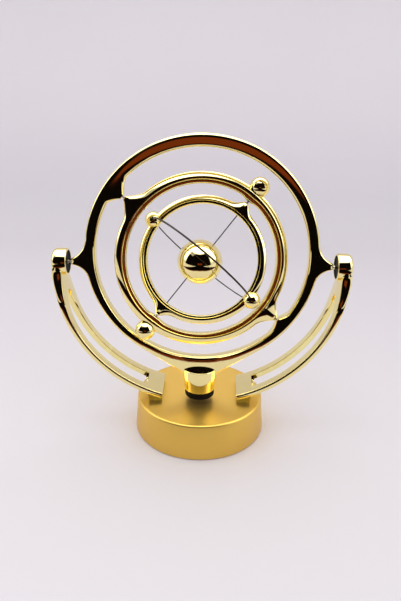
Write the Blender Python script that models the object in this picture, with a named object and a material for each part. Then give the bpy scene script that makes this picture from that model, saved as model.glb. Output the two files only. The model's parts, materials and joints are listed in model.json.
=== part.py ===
"""Perpetual-motion gimbal desk toy: a battery base, two slotted arms and three nested rings.

The base hides a coil that kicks a magnet in the pendulum. The outer ring swings on the arms, the
middle ring turns inside it on a slanted axis, and the inner ring turns inside that one at right
angles, carrying an axle with a ball and two orbit wires. Metres, +Z up, front towards -Y, origin
under the middle of the base. The rings are modelled part-way through their swing.
"""

import math

import bmesh
import bpy
from mathutils import Matrix, Vector

MM = 0.001
GAP = 0.3 * MM

# Base
BASE_RADIUS_BOTTOM = 45.0 * MM
BASE_RADIUS_TOP = 43.2 * MM
BASE_RIM_Z = 0.5 * MM
DECK_Z = 25.2 * MM
BASE_WALL = 2.4 * MM
DECK_FILLET = 1.4 * MM
PLATE_BOTTOM = 1.0 * MM
PLATE_TOP = 3.0 * MM
PLATE_RADIUS = 42.2 * MM
PLATE_SCREW_X = 33.0 * MM
PLATE_SCREW_Y = 20.0 * MM
PLATE_SCREW_SEAT = 2.0 * MM
PILLAR_RADIUS = 2.8 * MM
DOOR_HALF = 27.0 * MM
FOOT_RING_RADIUS = 35.0 * MM
FOOT_RADIUS = 3.6 * MM

# Arms and the pivot that the outer ring swings on
PIVOT_Z = 120.2 * MM
ARM_CENTRE_Z = 118.2 * MM
ARM_OUTER = 94.5 * MM
ARM_THICKNESS = 3.8 * MM
ARM_HALF_WIDTH = 14.4 * MM
SLOT_HALF_WIDTH = 7.2 * MM
SLOT_START = 11.5
SLOT_END = 66.5
BARREL_RADIUS = 8.4 * MM
BARREL_FACE_X = 86.5 * MM
BARREL_END_X = 96.3 * MM
FOOT_BLOCK_INNER_X = 25.5 * MM
FOOT_BLOCK_OUTER_X = 34.5 * MM

# Rings, in the plane of each ring, heights measured from the pivot axis
SWING_ANGLE = math.radians(6.5)
MIDDLE_ANGLE = math.radians(-7.7)
INNER_ANGLE = math.radians(-15.8)
AXIS_SLANT = math.radians(38.0)
WIRE_LEAN = math.radians(-8.8)
GIMBAL_Z = 3.2 * MM
OUTER_CENTRE_Z = 6.8 * MM
OUTER_RADIUS = 75.3 * MM
OUTER_HOLE_CENTRE_Z = 5.5 * MM
OUTER_HOLE_RADIUS = 68.3 * MM
OUTER_HALF_DEPTH = 4.2 * MM
OUTER_CHAMFER = 2.1 * MM
HORN_TIP_X = 84.0 * MM
HORN_TIP_HALF = 1.4 * MM
HORN_FILLET_TOP = 15.0 * MM
HORN_FILLET_BOTTOM = 12.0 * MM
NECK_SLOPE = math.radians(31.7)
NECK_BOTTOM_Z = -75.5 * MM
MIDDLE_RADIUS = 52.0 * MM
MIDDLE_WIDTH = 7.8 * MM
MIDDLE_HALF_DEPTH = 4.8 * MM
INNER_RADIUS = 38.7 * MM
INNER_WIDTH = 5.7 * MM
INNER_HALF_DEPTH = 3.3 * MM
OUTER_BOSS_TIP = 63.9 * MM
MIDDLE_BOSS_TIP = 62.6 * MM
MIDDLE_INNER_BOSS_TIP = 47.2 * MM
INNER_BOSS_TIP = 46.0 * MM
LARGE_BALL_RADIUS = 6.1 * MM
LARGE_BALL_POSITION = 59.1 * MM
SMALL_BALL_RADIUS = 5.25 * MM
SMALL_BALL_POSITION = 41.3 * MM
SPHERE_RADIUS = 14.6 * MM
SPHERE_SLIP = -1.9 * MM
WIRE_RADIUS = 0.45 * MM
ORBIT_RADIUS = 40.3 * MM

# Pendulum, heights measured down from the pivot axis
WEIGHT_TOP_RADIUS = 11.3 * MM
WEIGHT_LOW_RADIUS = 10.4 * MM
WEIGHT_TOP = -71.0 * MM
WEIGHT_SHOULDER = 0.6 * MM
WEIGHT_BOTTOM = -86.8 * MM
CAP_RADIUS = 9.9 * MM
CAP_BOTTOM = -91.6 * MM

# Pivot pins and the cups they run in
PIN_RADIUS = 0.7 * MM
CUP_RADIUS = 1.3 * MM
CUP_LENGTH = 3.0 * MM
PIN_GRIP = 3.6 * MM
PIN_REACH = 1.6 * MM
PIN_CLEARANCE = 0.08 * MM
CUP_CLEARANCE = 0.1 * MM

# Screws
SCREW_RADIUS = 1.3 * MM
SCREW_HEAD = 2.5 * MM

# Battery tray
CELL_RADIUS = 7.2 * MM
CELL_LENGTH = 49.3 * MM
CELL_NUB = 1.2 * MM
CELL_X = 19.0 * MM
CELL_Z = PLATE_TOP + CELL_RADIUS + 0.6 * MM
TRAY_WALL_Y = 27.9 * MM
TRAY_WALL = 2.0 * MM
TRAY_WALL_TOP = 17.5 * MM

EDGE_SHARE = 0.3

X_AXIS = Vector((1.0, 0.0, 0.0))
Y_AXIS = Vector((0.0, 1.0, 0.0))
Z_AXIS = Vector((0.0, 0.0, 1.0))


def clear_scene():
    for obj in list(bpy.data.objects):
        bpy.data.objects.remove(obj, do_unlink=True)


def make_material(name, colour, roughness, metallic):
    """A Principled material with the sub-part's own colour."""
    material = bpy.data.materials.new(name)
    material.use_nodes = True
    shader = material.node_tree.nodes["Principled BSDF"]
    shader.inputs["Base Color"].default_value = (*colour, 1.0)
    shader.inputs["Roughness"].default_value = roughness
    shader.inputs["Metallic"].default_value = metallic
    return material


def make_object(name, bm, material, parent=None, sharp=35.0):
    """Turns a bmesh into a named object with outward faces and smooth round sides."""
    bmesh.ops.recalc_face_normals(bm, faces=bm.faces)
    mesh = bpy.data.meshes.new(name)
    bm.to_mesh(mesh)
    bm.free()
    mesh.shade_smooth()
    mesh.set_sharp_from_angle(angle=math.radians(sharp))
    mesh.materials.append(material)
    obj = bpy.data.objects.new(name, mesh)
    bpy.context.collection.objects.link(obj)
    obj.parent = parent
    return obj


def make_frame(name, parent=None, location=(0.0, 0.0, 0.0), rotation=None):
    """An empty that sits on a joint's axis and carries that joint's pieces."""
    empty = bpy.data.objects.new(name, None)
    bpy.context.collection.objects.link(empty)
    empty.parent = parent
    empty.matrix_basis = Matrix.Translation(location) @ (rotation or Matrix.Identity(4))
    return empty


def modify_boolean(target, cutter, operation):
    """Adds a Boolean with a hidden cutter that shares the target's frame."""
    cutter.hide_render = True
    cutter.display_type = "WIRE"
    modifier = target.modifiers.new(operation.lower() + "_" + cutter.name, "BOOLEAN")
    modifier.operation = operation
    modifier.solver = "EXACT"
    modifier.object = cutter


def make_cutter(name, bm, parent=None):
    return make_object(name, bm, MATERIALS["cutter"], parent)


def skin_loops(bm, loops, closed=True):
    """Joins a run of equal vertex loops with quads; closed also joins the last to the first."""
    rings = [[bm.verts.new(point) for point in loop] for loop in loops]
    count = len(rings)
    size = len(rings[0])
    for index in range(count if closed else count - 1):
        here = rings[index]
        there = rings[(index + 1) % count]
        for k in range(size):
            nxt = (k + 1) % size
            bm.faces.new((here[k], here[nxt], there[nxt], there[k]))
    if not closed:
        bm.faces.new(rings[0])
        bm.faces.new(rings[-1])
    return bm


def turned(profile, segments, matrix=None):
    """Turns an outline of (radius, height) points about Z; points on the axis become poles."""
    bm = bmesh.new()
    rows = []
    for radius, height in profile:
        if radius <= 0.0:
            rows.append([bm.verts.new((0.0, 0.0, height))])
            continue
        steps = [2.0 * math.pi * i / segments for i in range(segments)]
        rows.append([bm.verts.new((radius * math.cos(a), radius * math.sin(a), height)) for a in steps])
    is_open = len(rows[0]) == 1 and len(rows[-1]) == 1
    pairs = list(zip(rows, rows[1:]))
    if not is_open:
        pairs.append((rows[-1], rows[0]))
    for low, high in pairs:
        for i in range(segments):
            j = (i + 1) % segments
            if len(low) == 1:
                bm.faces.new((low[0], high[i], high[j]))
            elif len(high) == 1:
                bm.faces.new((low[i], low[j], high[0]))
            else:
                bm.faces.new((low[i], low[j], high[j], high[i]))
    if matrix is not None:
        bmesh.ops.transform(bm, matrix=matrix, verts=bm.verts)
    return bm


def along(direction, start=(0.0, 0.0, 0.0)):
    """A matrix that carries +Z onto a direction and the origin onto a start point."""
    turn = Z_AXIS.rotation_difference(Vector(direction)).to_matrix().to_4x4()
    return Matrix.Translation(start) @ turn


def rod(radius, start, end, direction, segments=12):
    """A round bar between two distances along a direction through the frame's origin."""
    return turned([(0.0, start), (radius, start), (radius, end), (0.0, end)], segments, along(direction))


def box(low, high):
    """A box between two corners."""
    bm = bmesh.new()
    bmesh.ops.create_cube(bm, size=1.0)
    for vert in bm.verts:
        vert.co = Vector([low[i] + (vert.co[i] + 0.5) * (high[i] - low[i]) for i in range(3)])
    return bm


def ball(radius, segments, hole=0.0):
    """A ball about the origin; with a hole it is bored through along Z."""
    rows = segments // 2
    if hole <= 0.0:
        angles = [math.pi * i / rows for i in range(rows + 1)]
        profile = [(radius * math.sin(a), -radius * math.cos(a)) for a in angles]
        profile[0] = (0.0, -radius)
        profile[-1] = (0.0, radius)
        return turned(profile, segments)
    start = math.asin(hole / radius)
    angles = [start + (math.pi - 2.0 * start) * i / rows for i in range(rows + 1)]
    return turned([(radius * math.sin(a), -radius * math.cos(a)) for a in angles], segments)


def wire_arc(radius, wire, start, end, steps, sides=6):
    """A round wire bent to an arc about Z, starting from angle 0 on +X."""
    loops = []
    for i in range(steps + 1):
        angle = start + (end - start) * i / steps
        outward = Vector((math.cos(angle), math.sin(angle), 0.0))
        turns = [2.0 * math.pi * k / sides for k in range(sides)]
        loops.append([outward * (radius + wire * math.cos(t)) + Z_AXIS * (wire * math.sin(t)) for t in turns])
    return skin_loops(bmesh.new(), loops, closed=False)


# ---------------------------------------------------------------- base


def base_shell():
    """The drum: an open-bottomed turned shell with a rounded deck edge and four screw holes."""
    taper = (BASE_RADIUS_BOTTOM - BASE_RADIUS_TOP) / DECK_Z
    edge_z = DECK_Z - DECK_FILLET
    edge_r = BASE_RADIUS_TOP + taper * DECK_FILLET
    profile = [(0.0, DECK_Z)]
    for i in range(4):
        angle = math.radians(90.0 - 30.0 * i)
        reach = DECK_FILLET * math.cos(angle)
        profile.append((edge_r - DECK_FILLET + reach, edge_z + DECK_FILLET * math.sin(angle)))
    profile += [
        (BASE_RADIUS_BOTTOM, BASE_RIM_Z + 0.4 * MM),
        (BASE_RADIUS_BOTTOM - 0.5 * MM, BASE_RIM_Z),
        (BASE_RADIUS_BOTTOM - BASE_WALL, BASE_RIM_Z),
        (BASE_RADIUS_TOP - BASE_WALL + 0.6 * MM, DECK_Z - BASE_WALL),
        (0.0, DECK_Z - BASE_WALL),
    ]
    shell = make_object("base_shell", turned(profile, 60), MATERIALS["satin_gold"])
    for name, x, y in plate_screws():
        pillar = rod(PILLAR_RADIUS, PLATE_TOP + GAP, DECK_Z - BASE_WALL + 1.0 * MM, Z_AXIS, 12)
        bmesh.ops.translate(pillar, vec=(x, y, 0.0), verts=pillar.verts)
        modify_boolean(shell, make_cutter(f"pillar_{name}", pillar), "UNION")
        bore = rod(SCREW_RADIUS + 0.2 * MM, PLATE_TOP - 1.0 * MM, PLATE_TOP + 8.0 * MM, Z_AXIS, 10)
        bmesh.ops.translate(bore, vec=(x, y, 0.0), verts=bore.verts)
        modify_boolean(shell, make_cutter(f"pillar_bore_{name}", bore), "DIFFERENCE")
    for index, (x, y) in enumerate(arm_screw_positions()):
        hole = rod(SCREW_RADIUS + GAP, DECK_Z - 5.0 * MM, DECK_Z + 2.0 * MM, Z_AXIS, 12)
        bmesh.ops.translate(hole, vec=(x, y, 0.0), verts=hole.verts)
        modify_boolean(shell, make_cutter(f"deck_hole_cutter_{index + 1}", hole), "DIFFERENCE")


def arm_screw_positions():
    middle = (FOOT_BLOCK_INNER_X + FOOT_BLOCK_OUTER_X) / 2.0
    return [(sx * middle, sy * 8.0 * MM) for sx in (-1, 1) for sy in (-1, 1)]


def plate_screws():
    """Names and places of the four screws that hold the bottom cover."""
    corners = [("left_front", -1, -1), ("left_back", -1, 1), ("right_front", 1, -1), ("right_back", 1, 1)]
    return [(name, sx * PLATE_SCREW_X, sy * PLATE_SCREW_Y) for name, sx, sy in corners]


def base_plate():
    """The bottom cover with the battery opening, two contact walls and two board posts."""
    outline = [(0.0, PLATE_BOTTOM), (PLATE_RADIUS, PLATE_BOTTOM), (PLATE_RADIUS, PLATE_TOP), (0.0, PLATE_TOP)]
    disc = turned(outline, 64)
    plate = make_object("base_plate", disc, MATERIALS["black_plastic"])
    for name, x, y in plate_screws():
        seat = [
            (0.0, PLATE_BOTTOM - 1.0 * MM),
            (SCREW_HEAD + 0.2 * MM, PLATE_BOTTOM - 1.0 * MM),
            (SCREW_HEAD + 0.2 * MM, PLATE_SCREW_SEAT),
            (SCREW_RADIUS + 0.2 * MM, PLATE_SCREW_SEAT),
            (SCREW_RADIUS + 0.2 * MM, PLATE_TOP + 1.0 * MM),
            (0.0, PLATE_TOP + 1.0 * MM),
        ]
        hole = turned(seat, 12, Matrix.Translation((x, y, 0.0)))
        modify_boolean(plate, make_cutter(f"plate_hole_cutter_{name}", hole), "DIFFERENCE")
    opening = box((-DOOR_HALF, -DOOR_HALF, 0.0), (DOOR_HALF, DOOR_HALF, 2.0 * PLATE_TOP))
    modify_boolean(plate, make_cutter("battery_opening_cutter", opening), "DIFFERENCE")
    for side in (-1, 1):
        near, far = sorted((side * TRAY_WALL_Y, side * (TRAY_WALL_Y + TRAY_WALL)))
        wall = box((-DOOR_HALF, near, PLATE_BOTTOM + 1.0 * MM), (DOOR_HALF, far, TRAY_WALL_TOP))
        modify_boolean(plate, make_cutter(f"tray_wall_{'back' if side > 0 else 'front'}", wall), "UNION")
        post = rod(1.6 * MM, PLATE_BOTTOM + 1.0 * MM, 6.0 * MM, Z_AXIS, 10)
        bmesh.ops.translate(post, vec=(side * 7.0 * MM, 35.0 * MM, 0.0), verts=post.verts)
        modify_boolean(plate, make_cutter(f"board_post_{'right' if side > 0 else 'left'}", post), "UNION")


def feet():
    """Four rubber pads under the cover."""
    names = ("right", "back", "left", "front")
    for index, name in enumerate(names):
        angle = math.pi / 2.0 * index
        spot = (FOOT_RING_RADIUS * math.cos(angle), FOOT_RING_RADIUS * math.sin(angle), 0.0)
        place = Matrix.Translation(spot)
        top = PLATE_BOTTOM - 0.1 * MM
        edge = 0.3 * MM
        profile = [(0.0, 0.0), (FOOT_RADIUS - edge, 0.0), (FOOT_RADIUS, edge), (FOOT_RADIUS, top), (0.0, top)]
        make_object(f"rubber_foot_{name}", turned(profile, 16, place), MATERIALS["rubber"])


def screw(name, position, direction, shank_length, head_height, parent=None):
    """A pan-head screw with a slot; position is under the head and direction follows the shank."""
    shank = SCREW_RADIUS
    head = SCREW_HEAD
    profile = [
        (0.0, -head_height),
        (head * 0.7, -head_height),
        (head, -0.3 * head_height),
        (head, 0.0),
        (shank, 0.0),
        (shank, shank_length - shank),
        (0.0, shank_length),
    ]
    matrix = along(direction, position)
    body = make_object(name, turned(profile, 12, matrix), MATERIALS["steel"], parent)
    slot = box((-2.0 * head, -0.35 * MM, -2.0 * head_height), (2.0 * head, 0.35 * MM, -0.6 * head_height))
    bmesh.ops.transform(slot, matrix=matrix, verts=slot.verts)
    modify_boolean(body, make_cutter(name + "_slot", slot, parent), "DIFFERENCE")


def base_screws():
    """Four screws up through the deck into the arms, and four that hold the bottom cover."""
    names = ("left_front", "left_back", "right_front", "right_back")
    for name, (x, y) in zip(names, arm_screw_positions()):
        screw(f"arm_screw_{name}", (x, y, DECK_Z - BASE_WALL - GAP), Z_AXIS, 6.6 * MM, 1.4 * MM)
    for name, x, y in plate_screws():
        screw(f"plate_screw_{name}", (x, y, PLATE_SCREW_SEAT - 0.05 * MM), Z_AXIS, 6.5 * MM, 0.9 * MM)


def battery_door():
    """The square battery cover, with a finger notch rib, that pulls straight down."""
    half = DOOR_HALF - GAP
    panel = box((-half, -half, PLATE_BOTTOM), (half, half, PLATE_TOP - 0.2 * MM))
    door = make_object("battery_door", panel, MATERIALS["black_plastic"])
    notch = box((-6.0 * MM, -half - 1.0 * MM, 0.0), (6.0 * MM, -half + 1.2 * MM, 4.0 * MM))
    modify_boolean(door, make_cutter("door_notch_cutter", notch), "DIFFERENCE")


def batteries():
    """Two AA cells side by side, pointing opposite ways."""
    for name, x, flip in (("left", -CELL_X, 1), ("right", CELL_X, -1)):
        half = CELL_LENGTH / 2.0
        profile = [
            (0.0, -half),
            (CELL_RADIUS - 0.5 * MM, -half),
            (CELL_RADIUS, -half + 0.5 * MM),
            (CELL_RADIUS, half - 0.5 * MM),
            (CELL_RADIUS - 0.5 * MM, half),
            (2.7 * MM, half),
            (2.5 * MM, half + CELL_NUB),
            (0.0, half + CELL_NUB),
        ]
        matrix = along(Y_AXIS * flip, (x, 0.0, CELL_Z))
        make_object(f"battery_{name}", turned(profile, 20, matrix), MATERIALS["battery"])


def contacts():
    """A flat tab at each cell's plus end and a conical spring at its minus end."""
    nub_y = CELL_LENGTH / 2.0 + CELL_NUB
    for name, x, flip in (("left", -CELL_X, 1), ("right", CELL_X, -1)):
        near, far = sorted((flip * (nub_y + 0.3 * MM), flip * (nub_y + 0.9 * MM)))
        tab = box((x - 4.5 * MM, near, CELL_Z - 5.0 * MM), (x + 4.5 * MM, far, CELL_Z + 5.0 * MM))
        make_object(f"contact_tab_{name}", tab, MATERIALS["steel"])
        make_object(f"contact_spring_{name}", contact_spring(x, -flip), MATERIALS["steel"], sharp=60.0)


def contact_spring(x, side):
    """A cone of round wire between a cell's flat end and its contact wall."""
    wire = 0.35 * MM
    turns = 2.75
    steps = 27
    first = CELL_LENGTH / 2.0 + wire + 0.3 * MM
    last = TRAY_WALL_Y - wire - 0.3 * MM
    loops = []
    for i in range(steps + 1):
        t = i / steps
        angle = 2.0 * math.pi * turns * t
        radius = (2.2 + 2.6 * t) * MM
        outward = Vector((math.cos(angle), 0.0, math.sin(angle)))
        centre = Vector((x, side * (first + (last - first) * t), CELL_Z)) + outward * radius
        corners = [2.0 * math.pi * k / 4 for k in range(4)]
        offsets = [outward * (wire * math.cos(c)) + Y_AXIS * (wire * math.sin(c)) for c in corners]
        loops.append([centre + offset for offset in offsets])
    return skin_loops(bmesh.new(), loops, closed=False)


def drive_unit():
    """Coil, bobbin and core under the deck, and the small switching board behind the cells."""
    top = DECK_Z - BASE_WALL - GAP
    bottom = top - 12.0 * MM
    bore = 2.4 * MM
    bobbin = [
        (bore, bottom),
        (10.6 * MM, bottom),
        (10.6 * MM, bottom + 1.0 * MM),
        (4.0 * MM, bottom + 1.0 * MM),
        (4.0 * MM, top - 1.0 * MM),
        (10.6 * MM, top - 1.0 * MM),
        (10.6 * MM, top),
        (bore, top),
    ]
    make_object("coil_bobbin", turned(bobbin, 24), MATERIALS["white_plastic"])
    coil_low = bottom + 1.0 * MM + GAP
    coil_high = top - 1.0 * MM - GAP
    inner = 4.0 * MM + GAP
    middle = (coil_low + coil_high) / 2.0
    winding = [
        (inner, coil_low), (9.4 * MM, coil_low), (9.8 * MM, middle),
        (9.4 * MM, coil_high), (inner, coil_high),
    ]
    make_object("drive_coil", turned(winding, 24), MATERIALS["copper"])
    make_object("coil_core", rod(bore - 0.2 * MM, bottom - 1.0 * MM, top, Z_AXIS, 16), MATERIALS["steel"])
    board = box((-9.5 * MM, 30.8 * MM, 6.2 * MM), (9.5 * MM, 39.4 * MM, 7.6 * MM))
    make_object("circuit_board", board, MATERIALS["board_green"])
    transistor = box((-6.0 * MM, 33.0 * MM, 8.0 * MM), (-1.6 * MM, 36.4 * MM, 12.4 * MM))
    make_object("transistor", transistor, MATERIALS["black_plastic"])
    can = [
        (0.0, 8.0 * MM), (2.4 * MM, 8.0 * MM), (2.4 * MM, 14.4 * MM), (2.0 * MM, 14.8 * MM), (0.0, 14.8 * MM),
    ]
    capacitor = turned(can, 16, Matrix.Translation((4.4 * MM, 35.0 * MM, 0.0)))
    make_object("capacitor", capacitor, MATERIALS["capacitor_blue"])


# ---------------------------------------------------------------- arms


def smoothstep(low, high, value):
    t = min(1.0, max(0.0, (value - low) / (high - low)))
    return t * t * (3.0 - 2.0 * t)


def arm_half_width(degrees):
    """The strap's half width: as narrow as the barrel at the top, full width just below it."""
    blend = smoothstep(-3.5, 5.0, degrees)
    return BARREL_RADIUS - 0.4 * MM + (ARM_HALF_WIDTH - BARREL_RADIUS + 0.4 * MM) * blend


def on_arc(side, radius, y, angle):
    """A point of an arm, from its arc radius and its angle below level."""
    return Vector((side * radius * math.cos(angle), y, ARM_CENTRE_Z - radius * math.sin(angle)))


def arm_strap(side):
    """The curved strap: stations down the arc, each a thin rounded-edge rectangle."""
    edge = 0.9 * MM
    inner = ARM_OUTER - ARM_THICKNESS
    last = math.degrees(math.acos((FOOT_BLOCK_INNER_X + 0.2 * MM) / (inner + ARM_THICKNESS / 2.0)))
    first = -3.5
    steps = 26
    loops = []
    for i in range(steps + 1):
        degrees = first + (last - first) * i / steps
        angle = math.radians(degrees)
        half = arm_half_width(degrees)
        section = [
            (inner, -half + edge), (inner + edge, -half),
            (ARM_OUTER - edge, -half), (ARM_OUTER, -half + edge),
            (ARM_OUTER, half - edge), (ARM_OUTER - edge, half),
            (inner + edge, half), (inner, half - edge),
        ]
        loops.append([on_arc(side, r, y, angle) for r, y in section])
    return skin_loops(bmesh.new(), loops, closed=False)


def arm_slot(side):
    """The long slot's cutter: tapers to a round nose under the barrel, square at the foot."""
    steps = 20
    loops = []
    for i in range(steps + 1):
        degrees = SLOT_START + (SLOT_END - SLOT_START) * i / steps
        angle = math.radians(degrees)
        nose = min(1.0, (degrees - SLOT_START) / 4.0)
        half = SLOT_HALF_WIDTH * (0.15 + 0.85 * math.sqrt(nose * (2.0 - nose)))
        low = ARM_OUTER - 6.0 * MM
        high = ARM_OUTER + 3.0 * MM
        section = [(low, -half), (high, -half), (high, half), (low, half)]
        loops.append([on_arc(side, r, y, angle) for r, y in section])
    return skin_loops(bmesh.new(), loops, closed=False)


def arm_barrel(side):
    """The pivot boss: a short cylinder across the strap's top with a rounded outer end."""
    radius = BARREL_RADIUS
    profile = [(0.0, BARREL_FACE_X), (radius - 0.5 * MM, BARREL_FACE_X), (radius, BARREL_FACE_X + 0.5 * MM)]
    corner = 2.6 * MM
    for i in range(4):
        angle = math.radians(30.0 * i)
        rise = corner * math.sin(angle)
        profile.append((radius - corner + corner * math.cos(angle), BARREL_END_X - corner + rise))
    profile.append((0.0, BARREL_END_X))
    return turned(profile, 36, along(X_AXIS * side, (0.0, 0.0, PIVOT_Z)))


def arm(name, side):
    """One arm: strap, barrel and foot block joined, with its slot, bearing pocket and screw holes."""
    strap = make_object(f"arm_{name}", arm_strap(side), MATERIALS["chrome_gold"], sharp=40.0)
    foot_width = ARM_HALF_WIDTH - 0.4 * MM
    near, far = sorted((side * FOOT_BLOCK_INNER_X, side * FOOT_BLOCK_OUTER_X))
    block = box((near, -foot_width, DECK_Z + GAP), (far, foot_width, DECK_Z + 6.0 * MM))
    modify_boolean(strap, make_cutter(f"arm_foot_{name}", block), "UNION")
    modify_boolean(strap, make_cutter(f"arm_slot_cutter_{name}", arm_slot(side)), "DIFFERENCE")
    modify_boolean(strap, make_cutter(f"arm_barrel_{name}", arm_barrel(side)), "UNION")
    depth = BARREL_FACE_X + CUP_LENGTH + GAP
    pocket = rod(CUP_RADIUS + CUP_CLEARANCE, BARREL_FACE_X - 1.0 * MM, depth, X_AXIS * side, 16)
    bmesh.ops.translate(pocket, vec=(0.0, 0.0, PIVOT_Z), verts=pocket.verts)
    modify_boolean(strap, make_cutter(f"arm_pocket_cutter_{name}", pocket), "DIFFERENCE")
    for index, (x, y) in enumerate(arm_screw_positions()):
        if x * side > 0.0:
            hole = rod(SCREW_RADIUS + 0.2 * MM, DECK_Z - 1.0 * MM, DECK_Z + 4.4 * MM, Z_AXIS, 12)
            bmesh.ops.translate(hole, vec=(x, y, 0.0), verts=hole.verts)
            modify_boolean(strap, make_cutter(f"arm_screw_hole_{index + 1}", hole), "DIFFERENCE")


# ---------------------------------------------------------------- pivots


def bearing_cup(name, face, direction, parent, offset=(0.0, 0.0, 0.0)):
    """A brass cup whose blind bore opens at the face distance along the direction."""
    bore = PIN_RADIUS + PIN_CLEARANCE
    profile = [
        (0.0, face + CUP_LENGTH),
        (CUP_RADIUS, face + CUP_LENGTH),
        (CUP_RADIUS, face),
        (bore, face),
        (bore, face + PIN_REACH + 0.4 * MM),
        (0.0, face + PIN_REACH + 0.7 * MM),
    ]
    make_object(name, turned(profile, 16, along(direction, offset)), MATERIALS["brass"], parent)


def pivot_pin(name, root, tip, direction, parent):
    """A steel pin with a pointed tip that runs in the facing cup."""
    point = 0.4 * MM
    profile = [(0.0, root), (PIN_RADIUS, root), (PIN_RADIUS, tip - point), (0.0, tip)]
    make_object(name, turned(profile, 12, along(direction)), MATERIALS["steel"], parent)


def drill(target, name, radius, start, end, direction, parent):
    modify_boolean(target, make_cutter(name, rod(radius, start, end, direction, 12), parent), "DIFFERENCE")


# ---------------------------------------------------------------- rings


def fillet_radius(theta, centre_x, centre_z, radius):
    """Distance along a ray to the near side of a fillet circle, or None where the ray misses it."""
    reach = centre_x * math.cos(theta) + centre_z * math.sin(theta)
    under = reach * reach - centre_x**2 - centre_z**2 + radius * radius
    if under < 0.0:
        return None
    return reach - math.sqrt(under)


def horn_reach(theta):
    """Outer radius in a horn: concave fillets from the ring to the pin, cut off at the tip."""
    sweep = OUTER_RADIUS
    for radius, sign in ((HORN_FILLET_TOP, 1.0), (HORN_FILLET_BOTTOM, -1.0)):
        centre_z = sign * (HORN_TIP_HALF + radius) - OUTER_CENTRE_Z
        centre_x = math.sqrt((OUTER_RADIUS + radius) ** 2 - centre_z**2)
        tangent = math.atan2(centre_z, centre_x)
        pin = math.atan2(-OUTER_CENTRE_Z, HORN_TIP_X)
        if (theta - pin) * sign >= 0.0 and (tangent - theta) * sign > 0.0:
            limit = HORN_TIP_X / math.cos(theta)
            sweep = min(limit, fillet_radius(theta, centre_x, centre_z, radius) or limit)
    return max(sweep, OUTER_RADIUS)


def neck_reach(theta):
    """Outer radius at the bottom: straight sides that leave the ring and meet at the pendulum."""
    from_bottom = abs(theta + math.pi / 2.0)
    if from_bottom >= NECK_SLOPE:
        return OUTER_RADIUS
    limit = (OUTER_CENTRE_Z - NECK_BOTTOM_Z) / math.cos(from_bottom)
    return min(limit, OUTER_RADIUS / math.cos(NECK_SLOPE - from_bottom))


def wrap(angle):
    return (angle + math.pi) % (2.0 * math.pi) - math.pi


def bump(distance, flat, spread, power):
    """A boss's outline: 1 on its flat tip, falling in a concave curve to 0."""
    t = min(1.0, max(0.0, (abs(distance) - flat) / spread))
    return (1.0 - t) ** power


def outer_outline(theta):
    """Outer and inner radius of the outer ring about its own centre."""
    theta = wrap(theta)
    right = wrap(theta) if abs(theta) <= math.pi / 2.0 else wrap(math.pi - theta)
    outside = max(horn_reach(right), neck_reach(theta))
    drop = OUTER_CENTRE_Z - OUTER_HOLE_CENTRE_Z
    inside = -drop * math.sin(theta) + math.sqrt(OUTER_HOLE_RADIUS**2 - (drop * math.cos(theta)) ** 2)
    tip_room = 1.0
    for sign, spread in ((-1.0, 10.5 * MM), (1.0, 8.0 * MM)):
        tip_x = sign * OUTER_BOSS_TIP * math.cos(AXIS_SLANT)
        tip_z = GIMBAL_Z - sign * OUTER_BOSS_TIP * math.sin(AXIS_SLANT) - OUTER_CENTRE_Z
        along_ring = wrap(theta - math.atan2(tip_z, tip_x)) * OUTER_HOLE_RADIUS
        weight = bump(along_ring, 1.9 * MM, spread, 1.5)
        inside -= (inside - math.hypot(tip_x, tip_z)) * weight
        tip_room = min(tip_room, 1.0 - 0.6 * weight)
    horn_room = 1.0
    height = abs(outside * math.sin(theta) + OUTER_CENTRE_Z)
    if outside > OUTER_RADIUS + 0.5 * MM and abs(math.cos(theta)) > 0.5:
        horn_room = min(1.0, 0.25 + height / (12.0 * MM))
    return outside, inside, OUTER_CHAMFER * horn_room, OUTER_CHAMFER * tip_room


def boss_ring_outline(radius, width, bosses):
    """Makes the outline function of a plain ring with bosses (angle, tip radius, spread, flat)."""

    def outline(theta):
        outside = radius + width / 2.0
        inside = radius - width / 2.0
        outer_chamfer = EDGE_SHARE * width
        inner_chamfer = EDGE_SHARE * width
        for angle, tip, spread, flat in bosses:
            edge = outside if tip > radius else inside
            weight = bump(wrap(theta - angle) * edge, flat, spread, 2.0)
            if tip > radius:
                outside += (tip - outside) * weight
                outer_chamfer *= 1.0 - 0.5 * weight
            else:
                inside += (tip - inside) * weight
                inner_chamfer *= 1.0 - 0.5 * weight
        return outside, inside, outer_chamfer, inner_chamfer

    return outline


def ring_stations(step, features):
    """Angles round a ring: even steps, and finer ones within each (centre, half span, count)."""
    angles = [math.radians(step) * i for i in range(round(360.0 / step))]
    for centre, half, count in features:
        angles = [a for a in angles if abs(wrap(a - centre)) > half + math.radians(step) * 0.3]
        angles += [(centre + half * (2.0 * i / count - 1.0)) % (2.0 * math.pi) for i in range(count + 1)]
    return sorted(angles)


def inset_outline(points, chamfers, sign):
    """Moves each outline point square to the outline, towards the material."""
    moved = []
    count = len(points)
    for i, (x, z) in enumerate(points):
        before = points[i - 1]
        after = points[(i + 1) % count]
        run = Vector((after[0] - before[0], after[1] - before[1])).normalized()
        moved.append((x + sign * run.y * -chamfers[i], z + sign * run.x * chamfers[i]))
    return moved


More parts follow.
